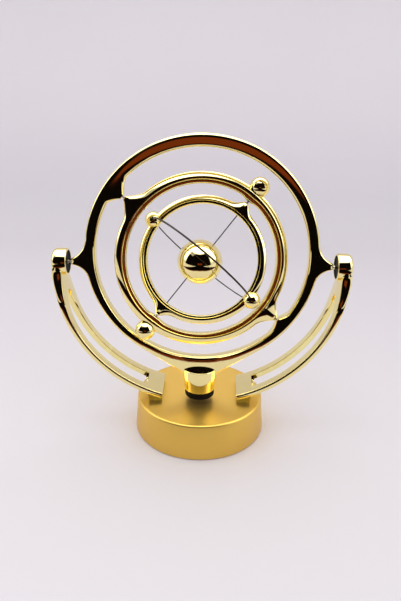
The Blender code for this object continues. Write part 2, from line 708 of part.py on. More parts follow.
def ring_solid(outline, centre_z, half_depth, edge_depth, angles):
    """A closed ring from its polar outline, with chamfered edges front and back."""
    rows = [outline(a) for a in angles]
    outer = [(r[0] * math.cos(a), r[0] * math.sin(a) + centre_z) for r, a in zip(rows, angles)]
    inner = [(r[1] * math.cos(a), r[1] * math.sin(a) + centre_z) for r, a in zip(rows, angles)]
    outer_face = inset_outline(outer, [r[2] for r in rows], 1.0)
    inner_face = inset_outline(inner, [r[3] for r in rows], -1.0)
    side = half_depth - edge_depth
    loops = []
    for o, i, of, nf in zip(outer, inner, outer_face, inner_face):
        loops.append([
            (nf[0], -half_depth, nf[1]), (of[0], -half_depth, of[1]), (o[0], -side, o[1]), (o[0], side, o[1]),
            (of[0], half_depth, of[1]), (nf[0], half_depth, nf[1]), (i[0], side, i[1]), (i[0], -side, i[1]),
        ])
    return skin_loops(bmesh.new(), loops)


def slant_direction():
    """The slanted axis, from the upper left to the lower right of the outer ring."""
    return Vector((math.cos(AXIS_SLANT), 0.0, -math.sin(AXIS_SLANT)))


def outer_ring(frame, gimbal):
    """The outer ring with its horns, neck and two bosses, drilled for pins, cups and screw."""
    bosses = []
    for sign in (-1.0, 1.0):
        tip = slant_direction() * (sign * OUTER_BOSS_TIP) + Vector((0.0, 0.0, GIMBAL_Z - OUTER_CENTRE_Z))
        bosses.append((math.atan2(tip.z, tip.x), math.radians(9.5), 12))
    horn = math.atan2(-OUTER_CENTRE_Z, HORN_TIP_X)
    features = bosses + [
        (horn, math.radians(13.0), 14),
        (math.pi - horn, math.radians(13.0), 14),
        (-math.pi / 2.0, math.radians(17.0), 12),
    ]
    angles = ring_stations(6.0, features)
    solid = ring_solid(outer_outline, OUTER_CENTRE_Z, OUTER_HALF_DEPTH, OUTER_CHAMFER, angles)
    ring = make_object("outer_ring", solid, MATERIALS["chrome_gold"], frame, sharp=30.0)
    for name, side in (("left", -1.0), ("right", 1.0)):
        hole = PIN_RADIUS + PIN_CLEARANCE
        root = HORN_TIP_X - PIN_GRIP - GAP
        drill(ring, f"horn_hole_{name}", hole, root, HORN_TIP_X + 2.0 * MM, X_AXIS * side, frame)
        pivot_pin(f"swing_pin_{name}", HORN_TIP_X - PIN_GRIP, BARREL_FACE_X + PIN_REACH, X_AXIS * side, frame)
    for name, side in (("upper", -1.0), ("lower", 1.0)):
        direction = slant_direction() * side
        pocket = CUP_RADIUS + CUP_CLEARANCE
        mouth = OUTER_BOSS_TIP - 2.0 * MM
        floor = OUTER_BOSS_TIP + CUP_LENGTH + GAP
        drill(ring, f"middle_pocket_{name}", pocket, mouth, floor, direction, gimbal)
        bearing_cup(f"middle_bearing_{name}", OUTER_BOSS_TIP, direction, gimbal)
    thread = SCREW_RADIUS + 0.2 * MM
    drill(ring, "neck_screw_hole", thread, NECK_BOTTOM_Z - 1.0 * MM, NECK_BOTTOM_Z + 7.0 * MM, Z_AXIS, frame)


def pendulum(frame):
    """The slotted weight on the ring's neck, its magnet, screw and black end cap."""
    rim = 0.6 * MM
    bore = SCREW_RADIUS + GAP
    profile = [
        (0.0, WEIGHT_TOP),
        (WEIGHT_TOP_RADIUS - WEIGHT_SHOULDER, WEIGHT_TOP),
        (WEIGHT_TOP_RADIUS, WEIGHT_TOP - WEIGHT_SHOULDER),
        (WEIGHT_LOW_RADIUS, WEIGHT_BOTTOM + rim),
        (WEIGHT_LOW_RADIUS - rim, WEIGHT_BOTTOM),
        (7.2 * MM, WEIGHT_BOTTOM),
        (7.2 * MM, WEIGHT_BOTTOM + 8.0 * MM),
        (bore, WEIGHT_BOTTOM + 8.0 * MM),
        (bore, WEIGHT_TOP - 4.0 * MM),
        (0.0, WEIGHT_TOP - 4.0 * MM),
    ]
    weight = make_object("pendulum_weight", turned(profile, 40), MATERIALS["chrome_gold"], frame)
    half = OUTER_HALF_DEPTH + GAP
    slot = box((-20.0 * MM, -half, NECK_BOTTOM_Z - GAP), (20.0 * MM, half, WEIGHT_TOP + 5.0 * MM))
    modify_boolean(weight, make_cutter("neck_slot_cutter", slot, frame), "DIFFERENCE")
    magnet = rod(6.9 * MM, WEIGHT_BOTTOM + 0.3 * MM, WEIGHT_BOTTOM + 5.6 * MM, Z_AXIS, 28)
    make_object("drive_magnet", magnet, MATERIALS["magnet"], frame)
    top = WEIGHT_BOTTOM - 0.2 * MM
    edge = 0.8 * MM
    cap = [(0.0, CAP_BOTTOM), (CAP_RADIUS - edge, CAP_BOTTOM)]
    cap += [(CAP_RADIUS, CAP_BOTTOM + edge), (CAP_RADIUS, top), (0.0, top)]
    make_object("magnet_cap", turned(cap, 40), MATERIALS["black_plastic"], frame)
    under_head = WEIGHT_BOTTOM + 8.0 * MM - 0.2 * MM
    screw("pendulum_screw", (0.0, 0.0, under_head), Z_AXIS, 9.0 * MM, 1.4 * MM, frame)


def saddle_cutter(name, radius, width, half_depth, parent):
    """A plain ring a little bigger than the one a ball clips onto, to cut the ball's saddle."""
    outline = boss_ring_outline(radius, width + 2.0 * GAP, [])
    angles = ring_stations(6.0, [])
    solid = ring_solid(outline, 0.0, half_depth + GAP, half_depth * 0.5, angles)
    return make_cutter(name, solid, parent)


def middle_ring(frame):
    """The middle ring: outward bosses on its own axis, small inward ones for the inner ring."""
    bosses = [
        (0.0, MIDDLE_BOSS_TIP, 11.0 * MM, 1.5 * MM),
        (math.pi, MIDDLE_BOSS_TIP, 11.0 * MM, 1.5 * MM),
        (math.pi / 2.0, MIDDLE_INNER_BOSS_TIP, 6.0 * MM, 2.4 * MM),
        (-math.pi / 2.0, MIDDLE_INNER_BOSS_TIP, 6.0 * MM, 2.4 * MM),
    ]
    features = [(angle, math.radians(13.0), 10 if tip > MIDDLE_RADIUS else 6) for angle, tip, _, _ in bosses]
    outline = boss_ring_outline(MIDDLE_RADIUS, MIDDLE_WIDTH, bosses)
    solid = ring_solid(outline, 0.0, MIDDLE_HALF_DEPTH, MIDDLE_HALF_DEPTH * 0.5, ring_stations(7.2, features))
    ring = make_object("middle_ring", solid, MATERIALS["chrome_gold"], frame, sharp=50.0)
    saddle = saddle_cutter("middle_saddle_cutter", MIDDLE_RADIUS, MIDDLE_WIDTH, MIDDLE_HALF_DEPTH, frame)
    for name, side in (("lower", 1.0), ("upper", -1.0)):
        root = MIDDLE_BOSS_TIP - PIN_GRIP
        hole = PIN_RADIUS + PIN_CLEARANCE
        mouth = MIDDLE_BOSS_TIP + 2.0 * MM
        drill(ring, f"middle_pin_hole_{name}", hole, root - GAP, mouth, X_AXIS * side, frame)
        pivot_pin(f"middle_pin_{name}", root, OUTER_BOSS_TIP + PIN_REACH, X_AXIS * side, frame)
    for name, side in (("upper", 1.0), ("lower", -1.0)):
        face = MIDDLE_INNER_BOSS_TIP
        pocket = CUP_RADIUS + CUP_CLEARANCE
        floor = face + CUP_LENGTH + GAP
        drill(ring, f"inner_pocket_{name}", pocket, face - 2.0 * MM, floor, Z_AXIS * side, frame)
        bearing_cup(f"inner_bearing_{name}", face, Z_AXIS * side, frame)
        sphere = ball(LARGE_BALL_RADIUS, 20)
        bmesh.ops.translate(sphere, vec=(0.0, 0.0, side * LARGE_BALL_POSITION), verts=sphere.verts)
        knob = make_object(f"large_ball_{name}", sphere, MATERIALS["chrome_gold"], frame)
        modify_boolean(knob, saddle, "DIFFERENCE")


def inner_ring(frame):
    """The inner ring: outward bosses on its axis, and the axle's two seats on the inside."""
    bosses = [(side * math.pi / 2.0, INNER_BOSS_TIP, 8.0 * MM, 1.4 * MM) for side in (1.0, -1.0)]
    features = [(angle, math.radians(13.0), 12) for angle, _, _, _ in bosses]
    outline = boss_ring_outline(INNER_RADIUS, INNER_WIDTH, bosses)
    solid = ring_solid(outline, 0.0, INNER_HALF_DEPTH, INNER_HALF_DEPTH * 0.5, ring_stations(8.0, features))
    ring = make_object("inner_ring", solid, MATERIALS["chrome_gold"], frame, sharp=50.0)
    inside = INNER_RADIUS - INNER_WIDTH / 2.0
    for name, side in (("upper", 1.0), ("lower", -1.0)):
        root = INNER_BOSS_TIP - PIN_GRIP
        hole = PIN_RADIUS + PIN_CLEARANCE
        mouth = INNER_BOSS_TIP + 2.0 * MM
        drill(ring, f"inner_pin_hole_{name}", hole, root - GAP, mouth, Z_AXIS * side, frame)
        pivot_pin(f"inner_pin_{name}", root, MIDDLE_INNER_BOSS_TIP + PIN_REACH, Z_AXIS * side, frame)
        bore = WIRE_RADIUS + 0.2 * MM
        drill(ring, f"axle_hole_{name}", bore, inside - 2.0 * MM, inside + 2.6 * MM, Z_AXIS * side, frame)
    small_balls(frame)
    axle_half = inside + 2.3 * MM
    make_object("sphere_axle", rod(WIRE_RADIUS, -axle_half, axle_half, Z_AXIS, 10), MATERIALS["steel"], frame)
    sphere = ball(SPHERE_RADIUS, 30, WIRE_RADIUS + 0.15 * MM)
    bmesh.ops.translate(sphere, vec=(0.0, 0.0, SPHERE_SLIP), verts=sphere.verts)
    make_object("centre_sphere", sphere, MATERIALS["chrome_gold"], frame)


def orbit_wire(side, extra=0.0, wire=WIRE_RADIUS, steps=24):
    """Half an orbit wire, from ball to ball, in front of the ring (side -1) or behind it (+1)."""
    seat = 5.0 * MM / ORBIT_RADIUS - extra
    bm = wire_arc(ORBIT_RADIUS, wire, side * seat, side * (math.pi - seat), steps)
    bmesh.ops.transform(bm, matrix=Matrix.Rotation(WIRE_LEAN, 4, "X"), verts=bm.verts)
    return bm


def small_balls(frame):
    """The two planets clipped on the inner ring, and the orbit wires that plug into them."""
    saddle = saddle_cutter("inner_saddle_cutter", INNER_RADIUS, INNER_WIDTH, INNER_HALF_DEPTH, frame)
    sockets = []
    for name, side in (("front", -1.0), ("back", 1.0)):
        make_object(f"orbit_wire_{name}", orbit_wire(side), MATERIALS["steel"], frame, sharp=70.0)
        socket = orbit_wire(side, extra=0.3 * MM / ORBIT_RADIUS, wire=WIRE_RADIUS + 0.2 * MM)
        sockets.append(make_cutter(f"wire_socket_cutter_{name}", socket, frame))
    for name, side in (("lower", 1.0), ("upper", -1.0)):
        sphere = ball(SMALL_BALL_RADIUS, 20)
        bmesh.ops.translate(sphere, vec=(side * SMALL_BALL_POSITION, 0.0, 0.0), verts=sphere.verts)
        planet = make_object(f"small_ball_{name}", sphere, MATERIALS["chrome_gold"], frame)
        modify_boolean(planet, saddle, "DIFFERENCE")
        for socket in sockets:
            modify_boolean(planet, socket, "DIFFERENCE")


# ---------------------------------------------------------------- assembly


def build_base():
    base_shell()
    base_plate()
    feet()
    base_screws()
    battery_door()
    batteries()
    contacts()
    drive_unit()
    for name, side in (("left", -1), ("right", 1)):
        arm(name, side)
        bearing_cup(f"swing_bearing_{name}", BARREL_FACE_X, X_AXIS * side, None, (0.0, 0.0, PIVOT_Z))


def build_gimbal():
    swing = make_frame("swing_frame", None, (0.0, 0.0, PIVOT_Z), Matrix.Rotation(-SWING_ANGLE, 4, "X"))
    gimbal = make_frame("gimbal_centre", swing, (0.0, 0.0, GIMBAL_Z))
    middle_turn = Matrix.Rotation(AXIS_SLANT, 4, "Y") @ Matrix.Rotation(MIDDLE_ANGLE, 4, "X")
    middle = make_frame("middle_frame", gimbal, rotation=middle_turn)
    inner = make_frame("inner_frame", middle, rotation=Matrix.Rotation(INNER_ANGLE, 4, "Z"))
    outer_ring(swing, gimbal)
    pendulum(swing)
    middle_ring(middle)
    inner_ring(inner)


clear_scene()
MATERIALS = {
    "satin_gold": make_material("satin_gold", (0.72, 0.50, 0.17), 0.38, 1.0),
    "chrome_gold": make_material("chrome_gold", (0.90, 0.68, 0.28), 0.08, 1.0),
    "black_plastic": make_material("black_plastic", (0.02, 0.02, 0.02), 0.45, 0.0),
    "white_plastic": make_material("white_plastic", (0.80, 0.80, 0.78), 0.45, 0.0),
    "rubber": make_material("rubber", (0.05, 0.05, 0.05), 0.8, 0.0),
    "steel": make_material("steel", (0.55, 0.54, 0.52), 0.25, 1.0),
    "brass": make_material("brass", (0.78, 0.60, 0.30), 0.3, 1.0),
    "copper": make_material("copper", (0.72, 0.33, 0.15), 0.35, 1.0),
    "magnet": make_material("magnet", (0.62, 0.62, 0.63), 0.2, 1.0),
    "battery": make_material("battery", (0.10, 0.22, 0.12), 0.35, 0.0),
    "board_green": make_material("board_green", (0.05, 0.25, 0.10), 0.5, 0.0),
    "capacitor_blue": make_material("capacitor_blue", (0.05, 0.10, 0.35), 0.35, 0.0),
    "cutter": make_material("cutter", (0.50, 0.50, 0.50), 0.5, 0.0),
}
build_base()
build_gimbal()
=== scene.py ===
"""Looks for the gimbal orbit desk toy: fine gold pieces, studio light and the camera.

Every piece rides on its CAD body. Shapes are built in millimetres and scaled to metres in piece(). In a
ring's own frame the Y axis goes through the ring. The studio's sizes are in metres.
"""

import json
import math

import bmesh
import bpy
import numpy as np
from mathutils import Matrix, Vector


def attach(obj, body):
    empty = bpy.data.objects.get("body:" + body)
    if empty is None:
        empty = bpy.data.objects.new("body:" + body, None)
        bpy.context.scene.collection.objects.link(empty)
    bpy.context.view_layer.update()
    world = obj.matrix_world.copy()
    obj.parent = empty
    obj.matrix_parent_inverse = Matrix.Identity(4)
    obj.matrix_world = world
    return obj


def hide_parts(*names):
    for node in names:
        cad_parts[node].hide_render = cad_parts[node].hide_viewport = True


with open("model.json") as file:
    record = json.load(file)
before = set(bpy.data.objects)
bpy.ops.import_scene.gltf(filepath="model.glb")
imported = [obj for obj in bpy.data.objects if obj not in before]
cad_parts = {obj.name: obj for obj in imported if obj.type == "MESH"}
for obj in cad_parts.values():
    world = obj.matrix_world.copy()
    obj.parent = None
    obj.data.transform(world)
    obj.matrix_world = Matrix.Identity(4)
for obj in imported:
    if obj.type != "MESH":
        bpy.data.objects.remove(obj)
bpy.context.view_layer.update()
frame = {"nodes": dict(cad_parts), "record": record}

MM = 0.001

# Base
DECK_Z = 25.2
BASE_RADIUS_BOTTOM = 45.0
BASE_RADIUS_TOP = 43.2
BASE_RIM_Z = 0.5
BASE_WALL = 2.4
BASE_FOOT_CHAMFER = 0.7
DECK_FILLET = 1.4

# Arms. Angles are degrees below level on the arm's arc; pairs are where a change starts and ends
PIVOT_Z = 120.2
ARM_CENTRE_Z = 118.2
ARM_OUTER = 94.5
ARM_THICKNESS = 3.8
ARM_TOP_THICKNESS = 5.0
ARM_HALF_WIDTH = 14.4
ARM_TOP = -1.15
ARM_TOP_ROUNDING = 1.3
ARM_TOP_ROUNDED_TO = 1.2
ARM_FILLET = 2.4
ARM_FILLET_END = 0.9
ARM_WIDENS = (-1.0, 16.0)
ARM_SWELL_FADES = (1.5, 13.0)
ARM_THINS = (6.0, 34.0)
STRAP_CROWN = 1.1
STRAP_CROWN_SHARE = 0.46
STRAP_EDGE_STEPS = 7
SLOT_HALF_WIDTH = 7.2
SLOT_START = 11.5
SLOT_END = 66.5
SLOT_NOSE = 15.0
SLOT_NOSE_BLUNT = 0.08
SLOT_LIP = 0.45
BARREL_RADIUS = 8.9
BARREL_FACE_X = 86.5
BARREL_END_X = 96.3
BARREL_INNER_CORNER = 0.55
BARREL_OUTER_CORNER = 3.4
RECESS_RADIUS = 7.5
RECESS_DEPTH = 0.8
RECESS_GAP = 0.05
RECESS_SET_BACK = 0.25
FOOT_INNER_X = 25.5
FOOT_LENGTH = 9.0
FOOT_CORNER = 0.4
FOOT_SWEEP = 7.0
FOOT_SWEEP_TURN = 62.0

# Rings. The first five values are the angles they have at rest
SWING = math.radians(6.5)
MIDDLE = math.radians(-7.7)
INNER = math.radians(-15.8)
SLANT = math.radians(38.0)
WIRE_LEAN = math.radians(-8.8)
GIMBAL_Z = 3.2
OUTER_CENTRE_Z = 6.8
OUTER_RADIUS = 75.27
HOLE_CENTRE_Z = 5.5
HOLE_RADIUS = 68.3
OUTER_HALF_DEPTH = 4.2
HORN_TIP_X = 84.0
HORN_TIP_HALF = 1.4
HORN_FILLET_TOP = 15.0
HORN_FILLET_BOTTOM = 12.0
NECK_SLOPE = math.radians(31.7)
NECK_BOTTOM_Z = -75.5
SCOOP_WIDTH = 14.0
SCOOP_EXTRA = 1.2
FACE_CROWN = 0.04
CHAMFER_TURN = math.radians(50.0)
# The outer ring's rounded edges: how deep they are, and how much of the ring's width each one takes
EDGE_DEPTH = 1.9
INNER_EDGE_SHARE = 0.17
OUTER_EDGE_SHARE = 0.29
OUTER_BOSS_TIP = 63.9
OUTER_BOSS_FLAT = 1.9
# Reach and power of a boss's curve down to the ring: its short side, and the long side of the left (-1.0)
# and the right (1.0) boss
BOSS_SHORT = (7.0, 1.2)
BOSS_LONG = {-1.0: (10.5, 1.5), 1.0: (9.0, 1.5)}
# Half a section of the two smaller rings, from the outer edge inwards: shares of half width and half depth
RING_SECTION = [
    (1.0, 0.0), (1.0, 0.28), (0.99, 0.38), (0.95, 0.46), (0.88, 0.535), (0.70, 0.66), (0.50, 0.78),
    (0.30, 0.87), (0.12, 0.935), (-0.06, 0.97), (-0.16, 0.975), (-0.23, 0.96), (-0.28, 0.90),
    (-0.32, 0.80), (-0.34, 0.765), (-0.38, 0.755), (-0.44, 0.755), (-0.70, 0.755), (-0.78, 0.745),
    (-0.86, 0.69), (-0.95, 0.56), (-1.0, 0.40), (-1.0, 0.1),
]
MIDDLE_RADIUS = 52.0
MIDDLE_HALF_WIDTH = 3.9
MIDDLE_HALF_DEPTH = 4.8
MIDDLE_BOSS_TIP = 62.6
MIDDLE_BOSS_REACH = 11.0
MIDDLE_INNER_BOSS_TIP = 47.2
MIDDLE_INNER_BOSS_REACH = 6.0
MIDDLE_INNER_BOSS_FLAT = 2.4
INNER_RADIUS = 38.7
INNER_HALF_WIDTH = 2.85
INNER_HALF_DEPTH = 3.3
INNER_BOSS_TIP = 46.0
INNER_BOSS_REACH = 8.0
BOSS_FLAT = 1.2
LARGE_BALL = 6.6
LARGE_BALL_AT = 58.9
SMALL_BALL = 5.6
SMALL_BALL_AT = 41.3
SPHERE = 14.6
SPHERE_SLIP = -1.9
# Radius of the orbit wire's two halves
WIRES = {"front": 0.6, "back": 0.42}
WIRE_SEAT = 4.6
AXLE_WIRE = 0.36
AXLE_SEAT = 2.2
ORBIT_RADIUS = 40.3
POCKET_RADIUS = 1.4
POCKET_DEPTH = 3.3
PIN_RADIUS = 0.7
PIN_START_X = 80.4
PIN_END_X = 88.1
PIN_POINT = 0.8
PIN_POINT_RADIUS = 0.12

# Pendulum
WEIGHT_TOP_RADIUS = 11.3
WEIGHT_LOW_RADIUS = 10.4
WEIGHT_TOP = -71.0
WEIGHT_BOTTOM = -86.8
WEIGHT_LEAN = math.radians(5.0)
WEIGHT_RIM = 0.5
WEIGHT_BORE_RADIUS = 7.2
WEIGHT_BORE_DEPTH = 8.0
CAP_RADIUS = 9.9
CAP_BOTTOM = -91.6
CAP_CORNER = 0.8
CAP_GAP = 0.2

# Camera, in millimetres and degrees, with its lens for a 36 mm sensor
CAMERA_AT = (6.9, -366.5, 248.4)
CAMERA_YAW = 1.14
CAMERA_PITCH = 22.73
CAMERA_ROLL = 0.86
CAMERA_LENS = 35.94
CAMERA_SENSOR = 36.0

# Finishes: colour, second colour, roughness range, metallic, specular, patch scale, bump, bump scale
FINISHES = {
    "chrome_gold": ((0.95, 0.83, 0.39), (0.93, 0.80, 0.35), (0.015, 0.05), 1.0, 0.5, 60.0, 0.01, 900.0),
    "satin_gold": ((0.80, 0.53, 0.115), (0.78, 0.51, 0.11), (0.40, 0.44), 1.0, 0.5, 70.0, 0.05, 4000.0),
    "black_plastic": ((0.004,) * 3, (0.007,) * 3, (0.5, 0.7), 0.0, 0.08, 80.0, 0.1, 1500.0),
    "white_plastic": ((0.78, 0.78, 0.75), (0.72, 0.72, 0.69), (0.35, 0.5), 0.0, 0.5, 60.0, 0.1, 1500.0),
    "rubber": ((0.03,) * 3, (0.05,) * 3, (0.7, 0.9), 0.0, 0.5, 90.0, 0.3, 2500.0),
    "steel": ((0.58, 0.57, 0.55), (0.48, 0.47, 0.46), (0.18, 0.34), 1.0, 0.5, 120.0, 0.1, 2500.0),
    "dark_wire": ((0.07, 0.055, 0.05), (0.04, 0.035, 0.03), (0.25, 0.4), 1.0, 0.5, 120.0, 0.1, 2500.0),
    "brass": ((0.78, 0.60, 0.30), (0.68, 0.50, 0.24), (0.2, 0.35), 1.0, 0.5, 120.0, 0.1, 2500.0),
    "copper": ((0.72, 0.33, 0.15), (0.60, 0.25, 0.11), (0.25, 0.4), 1.0, 0.5, 200.0, 0.3, 4000.0),
    "magnet": ((0.62, 0.62, 0.63), (0.54, 0.54, 0.56), (0.12, 0.25), 1.0, 0.5, 120.0, 0.1, 2500.0),
    "battery": ((0.10, 0.22, 0.12), (0.07, 0.16, 0.09), (0.25, 0.4), 0.0, 0.5, 90.0, 0.05, 1500.0),
    "board_green": ((0.05, 0.25, 0.10), (0.03, 0.18, 0.07), (0.35, 0.5), 0.0, 0.5, 200.0, 0.2, 2500.0),
    "capacitor_blue": ((0.05, 0.10, 0.35), (0.04, 0.08, 0.28), (0.25, 0.4), 0.0, 0.5, 90.0, 0.05, 1500.0),
}
WEAR_GAIN = 1.25
WEAR_EDGES = (0.54, 0.62)
BUMP_DISTANCE = 0.0002

# Studio, in metres
PALE = (0.86, 0.825, 0.86)
PALE_SPECKLE = 0.985
FLOOR_FRONT = -1.4
FLOOR_HALF_WIDTH = 9.0
SWEEP_START = 1.2
SWEEP_RADIUS = 0.8
SWEEP_TOP = 2.6
# Painted shade on the floor: how it darkens from the toy's middle back to the sweep and lightens again, by
# share of the way
FLOOR_SHADE = [
    (0.0, (1.0, 1.0, 1.0)),
    (0.10, (0.92, 0.915, 0.92)),
    (0.21, (0.82, 0.81, 0.82)),
    (0.35, (0.81, 0.80, 0.82)),
    (0.62, (0.90, 0.885, 0.90)),
    (1.0, (1.0, 0.99, 1.0)),
]
# Seen in mirrors only: the paper ends in front of the toy, its corners cut off, and a brown table follows
PAPER_EDGE_Y = -0.225
PAPER_CORNER_X = 0.06
PAPER_CORNER_SLANT = 0.6
TABLE_EDGE_Y = -0.265
TABLE_HALF_WIDTH = 0.45

# The light dome for plain surfaces and the tent that mirrors see, by height from straight down to straight up
SOFT_DOME = [
    (0.0, (0.74, 0.71, 0.74)),
    (0.5, (0.76, 0.73, 0.76)),
    (0.7, (0.84, 0.83, 0.84)),
    (1.0, (1.02, 1.02, 1.02)),
]
MIRRORED_TENT = [
    (0.0, (0.74, 0.71, 0.74)),
    (0.55, (0.78, 0.76, 0.80)),
    (0.68, (0.98, 0.97, 1.02)),
    (0.77, (2.6, 2.6, 2.7)),
    (1.0, (3.0, 3.0, 3.1)),
]
RED = (0.16, 0.03, 0.008)
BLACK = (0.003, 0.002, 0.002)
LAMP = (2.6, 2.6, 2.7)
# Patches of the mirrored tent, later ones on top: left, right, low, high and softness in degrees, and colour
PATCHES = [
    (-100.0, -70.0, 10.0, 60.0, 6.0, LAMP),
    (58.0, 95.0, 10.0, 60.0, 6.0, LAMP),
    (-76.0, 58.0, -100.0, 57.0, 4.0, BLACK),
    (-10.5, 13.0, 1.9, 10.5, 0.7, RED),
]
LIGHT_AIM = (0.0, 0.0, 0.09)


# ---------------------------------------------------------------- frames


def swing_frame():
    return Matrix.Translation((0.0, 0.0, PIVOT_Z)) @ Matrix.Rotation(-SWING, 4, "X")


def gimbal_frame():
    return swing_frame() @ Matrix.Translation((0.0, 0.0, GIMBAL_Z))


def middle_frame():
    return gimbal_frame() @ Matrix.Rotation(SLANT, 4, "Y") @ Matrix.Rotation(MIDDLE, 4, "X")


def inner_frame():
    return middle_frame() @ Matrix.Rotation(INNER, 4, "Z")


# ---------------------------------------------------------------- mesh helpers


def piece(name, bm, matrix, material, body, replaced, sharp=32.0):
    """Puts a mesh built in millimetres in place, smooths it and lets it ride on its body."""
    bmesh.ops.recalc_face_normals(bm, faces=bm.faces)
    mesh = bpy.data.meshes.new(name)
    bm.to_mesh(mesh)
    bm.free()
    mesh.transform(Matrix.Scale(MM, 4) @ matrix)
    mesh.shade_smooth()
    mesh.set_sharp_from_angle(angle=math.radians(sharp))
    mesh.materials.append(material)
    obj = bpy.data.objects.new(name, mesh)
    bpy.context.collection.objects.link(obj)
    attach(obj, body)
    if replaced:
        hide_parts(*replaced)
    return obj


def skin(loops, closed=True):
    """A tube through equal loops of points; closed joins the ends, otherwise they get caps."""
    bm = bmesh.new()
    rings = [[bm.verts.new(point) for point in loop] for loop in loops]
    size = len(rings[0])
    count = len(rings)
    for index in range(count if closed else count - 1):
        here = rings[index]
        there = rings[(index + 1) % count]
        for k in range(size):
            nxt = (k + 1) % size
            bm.faces.new((here[k], here[nxt], there[nxt], there[k]))
    if not closed:
        bm.faces.new(rings[0])
        bm.faces.new(rings[-1])
    return bm


def turned(profile, segments):
    """Turns (radius, height) points about Z; points at radius 0 become poles."""
    bm = bmesh.new()
    rows = []
    for radius, height in profile:
        if radius <= 0.0:
            rows.append([bm.verts.new((0.0, 0.0, height))])
            continue
        steps = [2.0 * math.pi * i / segments for i in range(segments)]
        rows.append([bm.verts.new((radius * math.cos(a), radius * math.sin(a), height)) for a in steps])
    pairs = list(zip(rows, rows[1:]))
    if len(rows[0]) > 1:
        pairs.append((rows[-1], rows[0]))
    for low, high in pairs:
        for i in range(segments):
            j = (i + 1) % segments
            if len(low) == 1:
                bm.faces.new((low[0], high[i], high[j]))
            elif len(high) == 1:
                bm.faces.new((low[i], low[j], high[0]))
            else:
                bm.faces.new((low[i], low[j], high[j], high[i]))
    return bm


def corner(radius, centre_r, centre_z, start, end, steps=6):
    """Points of a round corner in a turned profile, between two angles in degrees."""
    points = []
    for i in range(steps + 1):
        angle = math.radians(start + (end - start) * i / steps)
        points.append((centre_r + radius * math.cos(angle), centre_z + radius * math.sin(angle)))
    return points


def along(direction, start=(0.0, 0.0, 0.0)):
    turn = Vector((0.0, 0.0, 1.0)).rotation_difference(Vector(direction)).to_matrix().to_4x4()
    return Matrix.Translation(start) @ turn


def sphere_profile(radius, rows=48):
    angles = [math.pi * i / rows for i in range(1, rows)]
    middle = [(radius * math.sin(a), -radius * math.cos(a)) for a in angles]
    return [(0.0, -radius)] + middle + [(0.0, radius)]


def boolean(obj, bm, operation):
    """Applies an exact Boolean with a tool built in the object's own metres."""
    bmesh.ops.recalc_face_normals(bm, faces=bm.faces)
    mesh = bpy.data.meshes.new("tool")
    bm.to_mesh(mesh)
    bm.free()
    tool = bpy.data.objects.new("tool", mesh)
    bpy.context.collection.objects.link(tool)
    modifier = obj.modifiers.new("cut", "BOOLEAN")
    modifier.operation = operation
    modifier.solver = "EXACT"
    modifier.object = tool
    dg = bpy.context.evaluated_depsgraph_get()
    result = bpy.data.meshes.new_from_object(obj.evaluated_get(dg))
    obj.modifiers.clear()
    obj.data = result
    bpy.data.objects.remove(tool)


def drill(obj, matrix, radius, start, end, direction):
    """Cuts a round hole between two distances along a direction of a frame."""
    tool = turned([(0.0, start), (radius, start), (radius, end), (0.0, end)], 32)
    tool.transform(Matrix.Scale(MM, 4) @ matrix @ along(direction))
    boolean(obj, tool, "DIFFERENCE")


# ---------------------------------------------------------------- base


def base_body():
    """The drum, with its deck edge rounded and its underside open."""
    taper = (BASE_RADIUS_BOTTOM - BASE_RADIUS_TOP) / DECK_Z
    edge_r = BASE_RADIUS_TOP + taper * DECK_FILLET - DECK_FILLET
    deck = [(0.0, DECK_Z)] + [(edge_r * share, DECK_Z) for share in (0.25, 0.5, 0.75, 0.97)]
    profile = deck + corner(DECK_FILLET, edge_r, DECK_Z - DECK_FILLET, 90.0, 4.0, 8)
    profile += [
        (BASE_RADIUS_BOTTOM, BASE_RIM_Z + BASE_FOOT_CHAMFER),
        (BASE_RADIUS_BOTTOM - 0.2, BASE_RIM_Z + 0.2),
        (BASE_RADIUS_BOTTOM - BASE_FOOT_CHAMFER, BASE_RIM_Z),
        (BASE_RADIUS_BOTTOM - BASE_WALL, BASE_RIM_Z),
        (BASE_RADIUS_TOP - BASE_WALL + 0.6, DECK_Z - BASE_WALL),
        (0.0, DECK_Z - BASE_WALL),
    ]
    bm = turned(profile, 160)
    piece("base_drum", bm, Matrix(), MATERIALS["satin_gold"], "base", ["base_shell"], 40.0)


# ---------------------------------------------------------------- arms


def smoothstep(low, high, value):
    t = min(1.0, max(0.0, (value - low) / (high - low)))
    return t * t * (3.0 - 2.0 * t)


def arm_half_width(degrees):
    """Half the strap's width: just inside the barrel at the top, wider below it."""
    top = BARREL_RADIUS - 0.1
    return top + (ARM_HALF_WIDTH - top) * smoothstep(*ARM_WIDENS, degrees)


def arm_outer_radius(degrees):
    """The strap swells outwards at the top to just inside the barrel's end, and its top edge is rounded."""
    top = BARREL_END_X - 0.35
    swell = (top - ARM_OUTER) * (1.0 - smoothstep(*ARM_SWELL_FADES, degrees))
    return ARM_OUTER + swell - ARM_TOP_ROUNDING * (1.0 - smoothstep(ARM_TOP, ARM_TOP_ROUNDED_TO, degrees))


def arm_inner_radius(degrees):
    """The strap's inner face: thicker near the top, with a fillet in the corner under the barrel."""
    rise = min(1.0, max(0.0, (ARM_FILLET_END - degrees) / (ARM_FILLET_END - ARM_TOP)))
    extra = (ARM_TOP_THICKNESS - ARM_THICKNESS) * (1.0 - smoothstep(*ARM_THINS, degrees))
    thickness = ARM_THICKNESS + extra
    return ARM_OUTER - thickness - ARM_FILLET * (1.0 - math.sqrt(1.0 - rise * rise))


def on_arc(radius, y, degrees):
    """A point of the right-hand arm, from its arc radius and angle below level."""
    angle = math.radians(degrees)
    return (radius * math.cos(angle), y, ARM_CENTRE_Z - radius * math.sin(angle))


